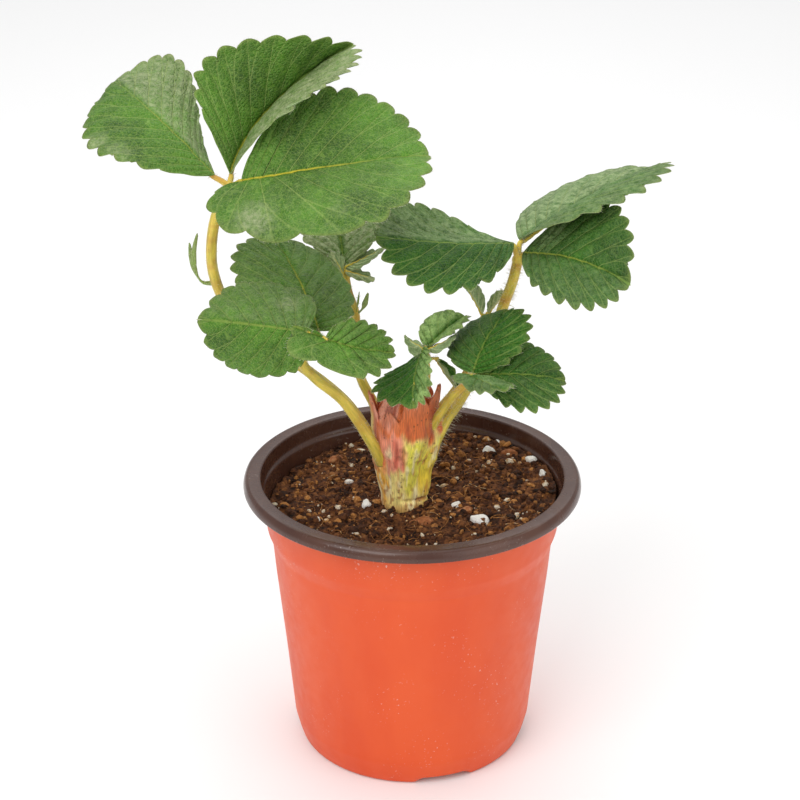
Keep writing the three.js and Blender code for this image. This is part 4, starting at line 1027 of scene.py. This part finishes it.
def outline_at(leaflet, half, turn):
    """The foot of the side vein on the midrib, and the margin's place along and out, for a turn that
    runs from 0 at the blade's base to pi at its tip."""
    length = leaflet["length"]
    lobe, wedge, ear = (leaflet[k][half] for k in ("lobe", "wedge", "ear"))
    power = wedge + (0.85 - wedge) * turn / np.pi
    early = np.minimum(turn, np.pi / 2)
    behind = ear * np.sin(2 * early) * np.cos(early) ** 2
    back = lobe * np.sin(np.pi * (early / (np.pi / 2)) ** (1.4 if ear else 1.0))
    foot = 0.9 * length * (turn / np.pi) ** 2.2
    along = length * ((1 - np.cos(turn)) / 2) ** 0.8 - back
    skew = 1 - leaflet["skew"][half] * np.cos(turn)
    return foot, along, leaflet["width"][half] * skew * np.maximum(0, np.sin(turn)) ** power - behind


def rib_thickness(leaflet):
    """The thickness of a leaflet's midrib at its foot: more for a longer leaflet."""
    return min(1.2, 0.35 + leaflet["length"] * 0.022)


def blade(leaflet, name, seed):
    """A blade as a grid: one way along the midrib, one row for each place on the margin, the other way
    from the left margin through the midrib to the right. Rows follow the side veins, so the quilting
    between them is a wave along the rows, with a narrow groove over each vein. The margin's teeth
    swell and drop along it, and the sheet is then given its thickness along its own normals."""
    teeth = leaflet["teeth"]
    span = teeth - 0.3
    steps = (np.arange(teeth)[:, None] + TOOTH_STEPS[None]).ravel()
    steps = np.append(steps[steps < span], span)
    bare = np.array(leaflet["bare"]) * np.pi
    turns = np.concatenate([start + (np.pi - start) * steps / span for start in bare])
    turns = np.unique(np.concatenate([np.linspace(TURN_START, bare.min(), 15), turns]).round(4))
    turns = turns[np.append(True, np.diff(turns) > 0.0015)]
    reach = ACROSS_STEPS
    deep = TOOTH_DEPTH * leaflet.get("deep", TEETH[name[0]]) * leaflet["length"]
    halves = []
    for half, side in ((0, 1), (1, -1)):
        phase = (turns - bare[half]) / (np.pi - bare[half]) * span
        part = phase % 1
        round_tooth = np.sin(np.pi * part ** 1.1) ** 0.6
        sharp_tooth = np.where(part < 0.62, (part / 0.62) ** 0.7, ((1 - part) / 0.38) ** 0.8)
        swell = round_tooth + POINTED[name[0]] * (sharp_tooth - round_tooth) - 0.65
        swell = np.where(phase < 0, 0, swell * np.clip(phase * 3 + 0.3, 0, 1))
        swell[-1] = 0.35
        uneven = 1 + 0.3 * noise(stacked(np.floor(phase), seed, side), 0.77, 71)
        grow = swell * uneven * deep
        foot, along, out = outline_at(leaflet, half, turns)
        vein = stacked(along - foot, out)
        margin = np.gradient(stacked(along, out), axis=0)
        push = unit(0.4 * unit(vein) + 0.6 * unit(margin[:, ::-1] * [-1, 1]))
        vein = np.linalg.norm(vein, axis=-1) + 1e-6
        a = foot[:, None] + (along - foot)[:, None] * reach + (grow * push[:, 0])[:, None] * reach ** 5
        o = out[:, None] * reach + (grow * push[:, 1])[:, None] * reach ** 5
        o = np.maximum(o, -2.5 if any(leaflet["ear"]) else 0)
        halves.append((blade_point(leaflet, side, a, o), a, o * side,
                       *np.broadcast_arrays(reach, vein[:, None], phase[:, None])))
    grid, along, across, share, vein, phase = (
        np.concatenate([left[:, ::-1], right[:, 1:]], axis=1) for left, right in zip(*halves))
    rows, columns = along.shape
    index = np.arange(rows * columns).reshape(rows, columns)
    index[-1, len(reach):] = index[-1, :len(reach) - 1][::-1]
    quads = grid_quads(index)

    spacing = np.linalg.norm(np.gradient(grid, axis=0), axis=-1) / np.gradient(phase, axis=0)
    spacing = np.minimum(spacing, 9.0)
    from_vein = np.abs((phase - VEIN_AT + 0.5) % 1 - 0.5)
    groove = bell(from_vein * spacing, 0.5) * smoothstep(1.03, 0.75, share)
    midrib = bell(across, 0.9)
    puff = ((1 - np.cos(2 * np.pi * from_vein)) / 2 * np.minimum(0.1 * spacing, 0.6)
            * np.sin(np.pi * share ** 0.8) ** 0.7)
    flat = stacked(across, along, 37.0 * seed)
    crinkle = (0.16 * noise(flat, 2.6, 75) + 0.3 * noise(flat, 5.5, 72) + 0.8 * noise(flat, 14.0, 73) * share)
    ripple = 0.35 * np.cos(2 * np.pi * (phase - 0.1)) * share ** 5
    ridge = np.clip(-sum(leaflet["fold"]) / 2, 0, 60)
    relief = (QUILT[name[0]] * (puff - 0.25 * groove) + crinkle + ripple
              - 0.45 * midrib * smoothstep(20, 5, ridge))
    relief = relief * smoothstep(0, 0.12, (np.arange(rows) / rows))[:, None]

    points = grid.reshape(-1, 3)
    for amount in (relief.ravel(), None):
        normals = np.zeros_like(points)
        a, b, c, d = points[quads.T]
        diagonal = np.cross(c - a, d - b)
        for corner in range(4):
            np.add.at(normals, quads[:, corner], diagonal)
        if np.dot(normals.sum(axis=0), blade_up(leaflet)) < 0:
            normals = -normals
            quads = quads[:, ::-1]
        normals = unit(normals)
        if amount is not None:
            points = points + normals * amount[:, None]
    thick = BLADE_THICKNESS / 2 * (1 - 0.45 * share.ravel() ** 4)[:, None]
    count = rows * columns
    loop = np.concatenate([index[:, 0], index[-2::-1, -1], index[0, -2:0:-1]])
    after = np.roll(loop, -1)
    rim = stacked(loop, after, after + count, loop + count)
    faces = np.vstack([quads, quads[:, ::-1] + count, rim])
    both = np.vstack([points + normals * thick, points - normals * thick])
    # pale: painted sheen with some dusty bloom, set for each half and faded in off the midrib
    pale = np.where(across > 0, *leaflet["pale"]) * smoothstep(0, 2.5, np.abs(across))
    # round patches of painted sheen with some dust, raising pale
    for place, size, strength in leaflet["sheen_and_dust_patches"]:
        away = (along - place[0]) ** 2 + (across - place[1]) ** 2
        pale = np.maximum(pale, strength * np.exp(-away / size ** 2))
    edge = np.exp(-(1 - share) * vein / 0.7)
    twice = dict(phase=phase - VEIN_AT, gap=spacing, share=share, edge=edge, pale=pale, across=across,
                 along=along)
    twice = {key: np.tile(value.ravel(), 2) for key, value in twice.items()}
    sheet = outward(part_of(both, faces, under=np.repeat([0.0, 1.0], count), tint=leaflet["golden"], **twice))
    middle = index[:, len(reach) - 1]
    sink = 0.75 * rib_thickness(leaflet) / np.cos(ridge * DEGREE)
    rib_line = points[middle] - normals[middle] * sink * np.linspace(1, 0.3, len(middle))[:, None]
    keep = np.unique(np.linspace(0, int(rows * 0.93), 40).astype(int))
    margin = np.concatenate([index[14:, 0], index[14:-1, -1]])
    outwards = np.vstack([points[index[14:, 0]] - points[index[14:, 2]],
                          points[index[14:-1, -1]] - points[index[14:-1, -3]]])
    return sheet, rib_line[keep], (points[margin], unit(outwards))


def blade_up(leaflet):
    """The direction that a leaflet's upper face looks in, at its middle."""
    half = leaflet["length"] / 2
    here = blade_point(leaflet, 1, half, 0.0)
    ahead = blade_point(leaflet, 1, half + 1, 0.0) - here
    left = blade_point(leaflet, 1, half, 1.0) - blade_point(leaflet, -1, half, 1.0)
    return np.cross(ahead, left)


def build_leaflets(letter, leaf, blade_material, skin, hair):
    """The leaflets of one leaf, with the hub that joins their short stalks and midribs."""
    rng = np.random.default_rng(200 + ord(letter))
    hub = np.array(leaf["hub"], float)
    knob = leaf["radius"][1] + 0.35
    up = np.linspace(-1, 1, 13)
    ball = tube(hub + stacked(0, 0, up * knob), knob * np.sqrt(np.maximum(1 - up ** 2, 0.01)), 20, tint=0.6)
    parts = [(ball, skin)]
    for number, name in enumerate(name for name in LEAFLETS if name[0] == letter):
        leaflet = {**PLAIN, **LEAFLETS[name]}
        sheet, rib, (margin, outwards) = blade(leaflet, name, 10 * (ord(letter) - ord("a") + 1) + number)
        parts.append((sheet, blade_material))
        thick = rib_thickness(leaflet)
        shrink = np.linspace(1, 0.12, len(rib)) ** 0.8
        parts.append((tube(rib, 0.62 * thick * shrink, 8, tint=0.25, along=0.0), skin))
        stem = smooth_line([hub, (hub + np.array(leaflet["base"])) / 2 + [0, 0, -0.15], rib[0], rib[3]], 14)
        parts.append((tube(stem, np.linspace(1.0, 0.66, len(stem)) * thick, 12, tint=0.8), skin))
        parts.append((hairs_along(stem, np.full(len(stem), 0.85 * thick), 10, 1.3, rng), hair))
        pick = rng.uniform(size=len(margin)) < 0.8
        roots, lean = margin[pick], outwards[pick]
        bend = rng.normal(size=roots.shape) * 0.25
        parts.append((hairs(roots, lean, rng.uniform(0.5, 1.1, len(roots)), MARGIN_HAIR, bend), hair))
    make_piece(f"leaf_{letter}_leaflets_fine", parts, [f"leaf_{letter}_leaflets"])


# ---- camera, light and floor

def to_frame(point):
    """A point in millimetres from the pot's axis, in metres in the frame."""
    return tuple((np.asarray(point, float) + POT_AXIS) * MM)


def set_stage():
    """A camera in front of the plant, a pale floor and large soft lamps under a pale sky. Each lamp is turned
    about the upright, then tipped, to look along the line to its target."""
    scene = bpy.context.scene
    camera = bpy.data.objects.new("camera", bpy.data.cameras.new("camera"))
    scene.collection.objects.link(camera)
    back = np.array([0, -np.cos(VIEW_PITCH), np.sin(VIEW_PITCH)])
    camera.location = to_frame(VIEW_CENTRE + VIEW_DISTANCE * back)
    camera.rotation_euler = (np.pi / 2 - VIEW_PITCH, 0, 0)
    camera.data.lens = LENS
    camera.data.sensor_width = SENSOR
    camera.data.clip_start = 0.01
    scene.camera = camera

    floor = bpy.data.meshes.new("studio_floor")
    corners = [(x * FLOOR_SIZE, y * FLOOR_SIZE, -FLOOR_DROP) for x, y in ((-1, -1), (1, -1), (1, 1), (-1, 1))]
    floor.from_pydata(corners, [], [(0, 1, 2, 3)])
    floor.materials.append(pale_floor())
    stage = bpy.data.objects.new("studio_floor", floor)
    scene.collection.objects.link(stage)

    for name, place, target, size, power in LAMPS:
        lamp = bpy.data.lights.new(name, "AREA")
        lamp.size = size
        lamp.energy = power
        holder = bpy.data.objects.new(name, lamp)
        scene.collection.objects.link(holder)
        start = np.array(to_frame(place))
        aim = np.array(to_frame(target)) - start
        holder.location = start
        flat = np.hypot(aim[0], aim[1])
        holder.rotation_euler = (np.arctan2(flat, -aim[2]), 0, np.arctan2(aim[1], aim[0]) - np.pi / 2)
    world = bpy.data.worlds.new("pale_sky")
    world.use_nodes = True
    sky = world.node_tree.nodes["Background"].inputs
    sky["Color"].default_value = (1, 1, 1, 1)
    sky["Strength"].default_value = SKY_STRENGTH
    scene.world = world
    scene.view_settings.view_transform = "Standard"


# ---- the whole plant

set_stage()
stalk_green = stalk_skin()
hair_glass = plant_hair()
# the third colour of each blade material is that of its painted sheen with some dusty bloom
leaf_green = leaf_blade("living strawberry leaf", ("#274e10", "#538823"), "#a3ad82", 1.0)
fresh_green = leaf_blade("unfolding strawberry leaf", ("#12390b", "#3d7a20"), "#b4d382", 0.55)
young_green = leaf_blade("young strawberry leaf", ("#12390b", "#366f1c"), "#aabd88", 0.55)
BLADE_OF = {"d": young_green, "e": young_green, "f": fresh_green, "g": fresh_green}
build_pot(nursery_pot_plastic())
build_soil(potting_mix())
build_loose_bits(expanded_perlite(), composted_bark())
build_crown(crown_bark())
for letter, leaf in LEAVES.items():
    build_stalk(letter, leaf, stalk_green, hair_glass, leaf_green)
    build_leaflets(letter, leaf, BLADE_OF.get(letter, leaf_green), stalk_green, hair_glass)
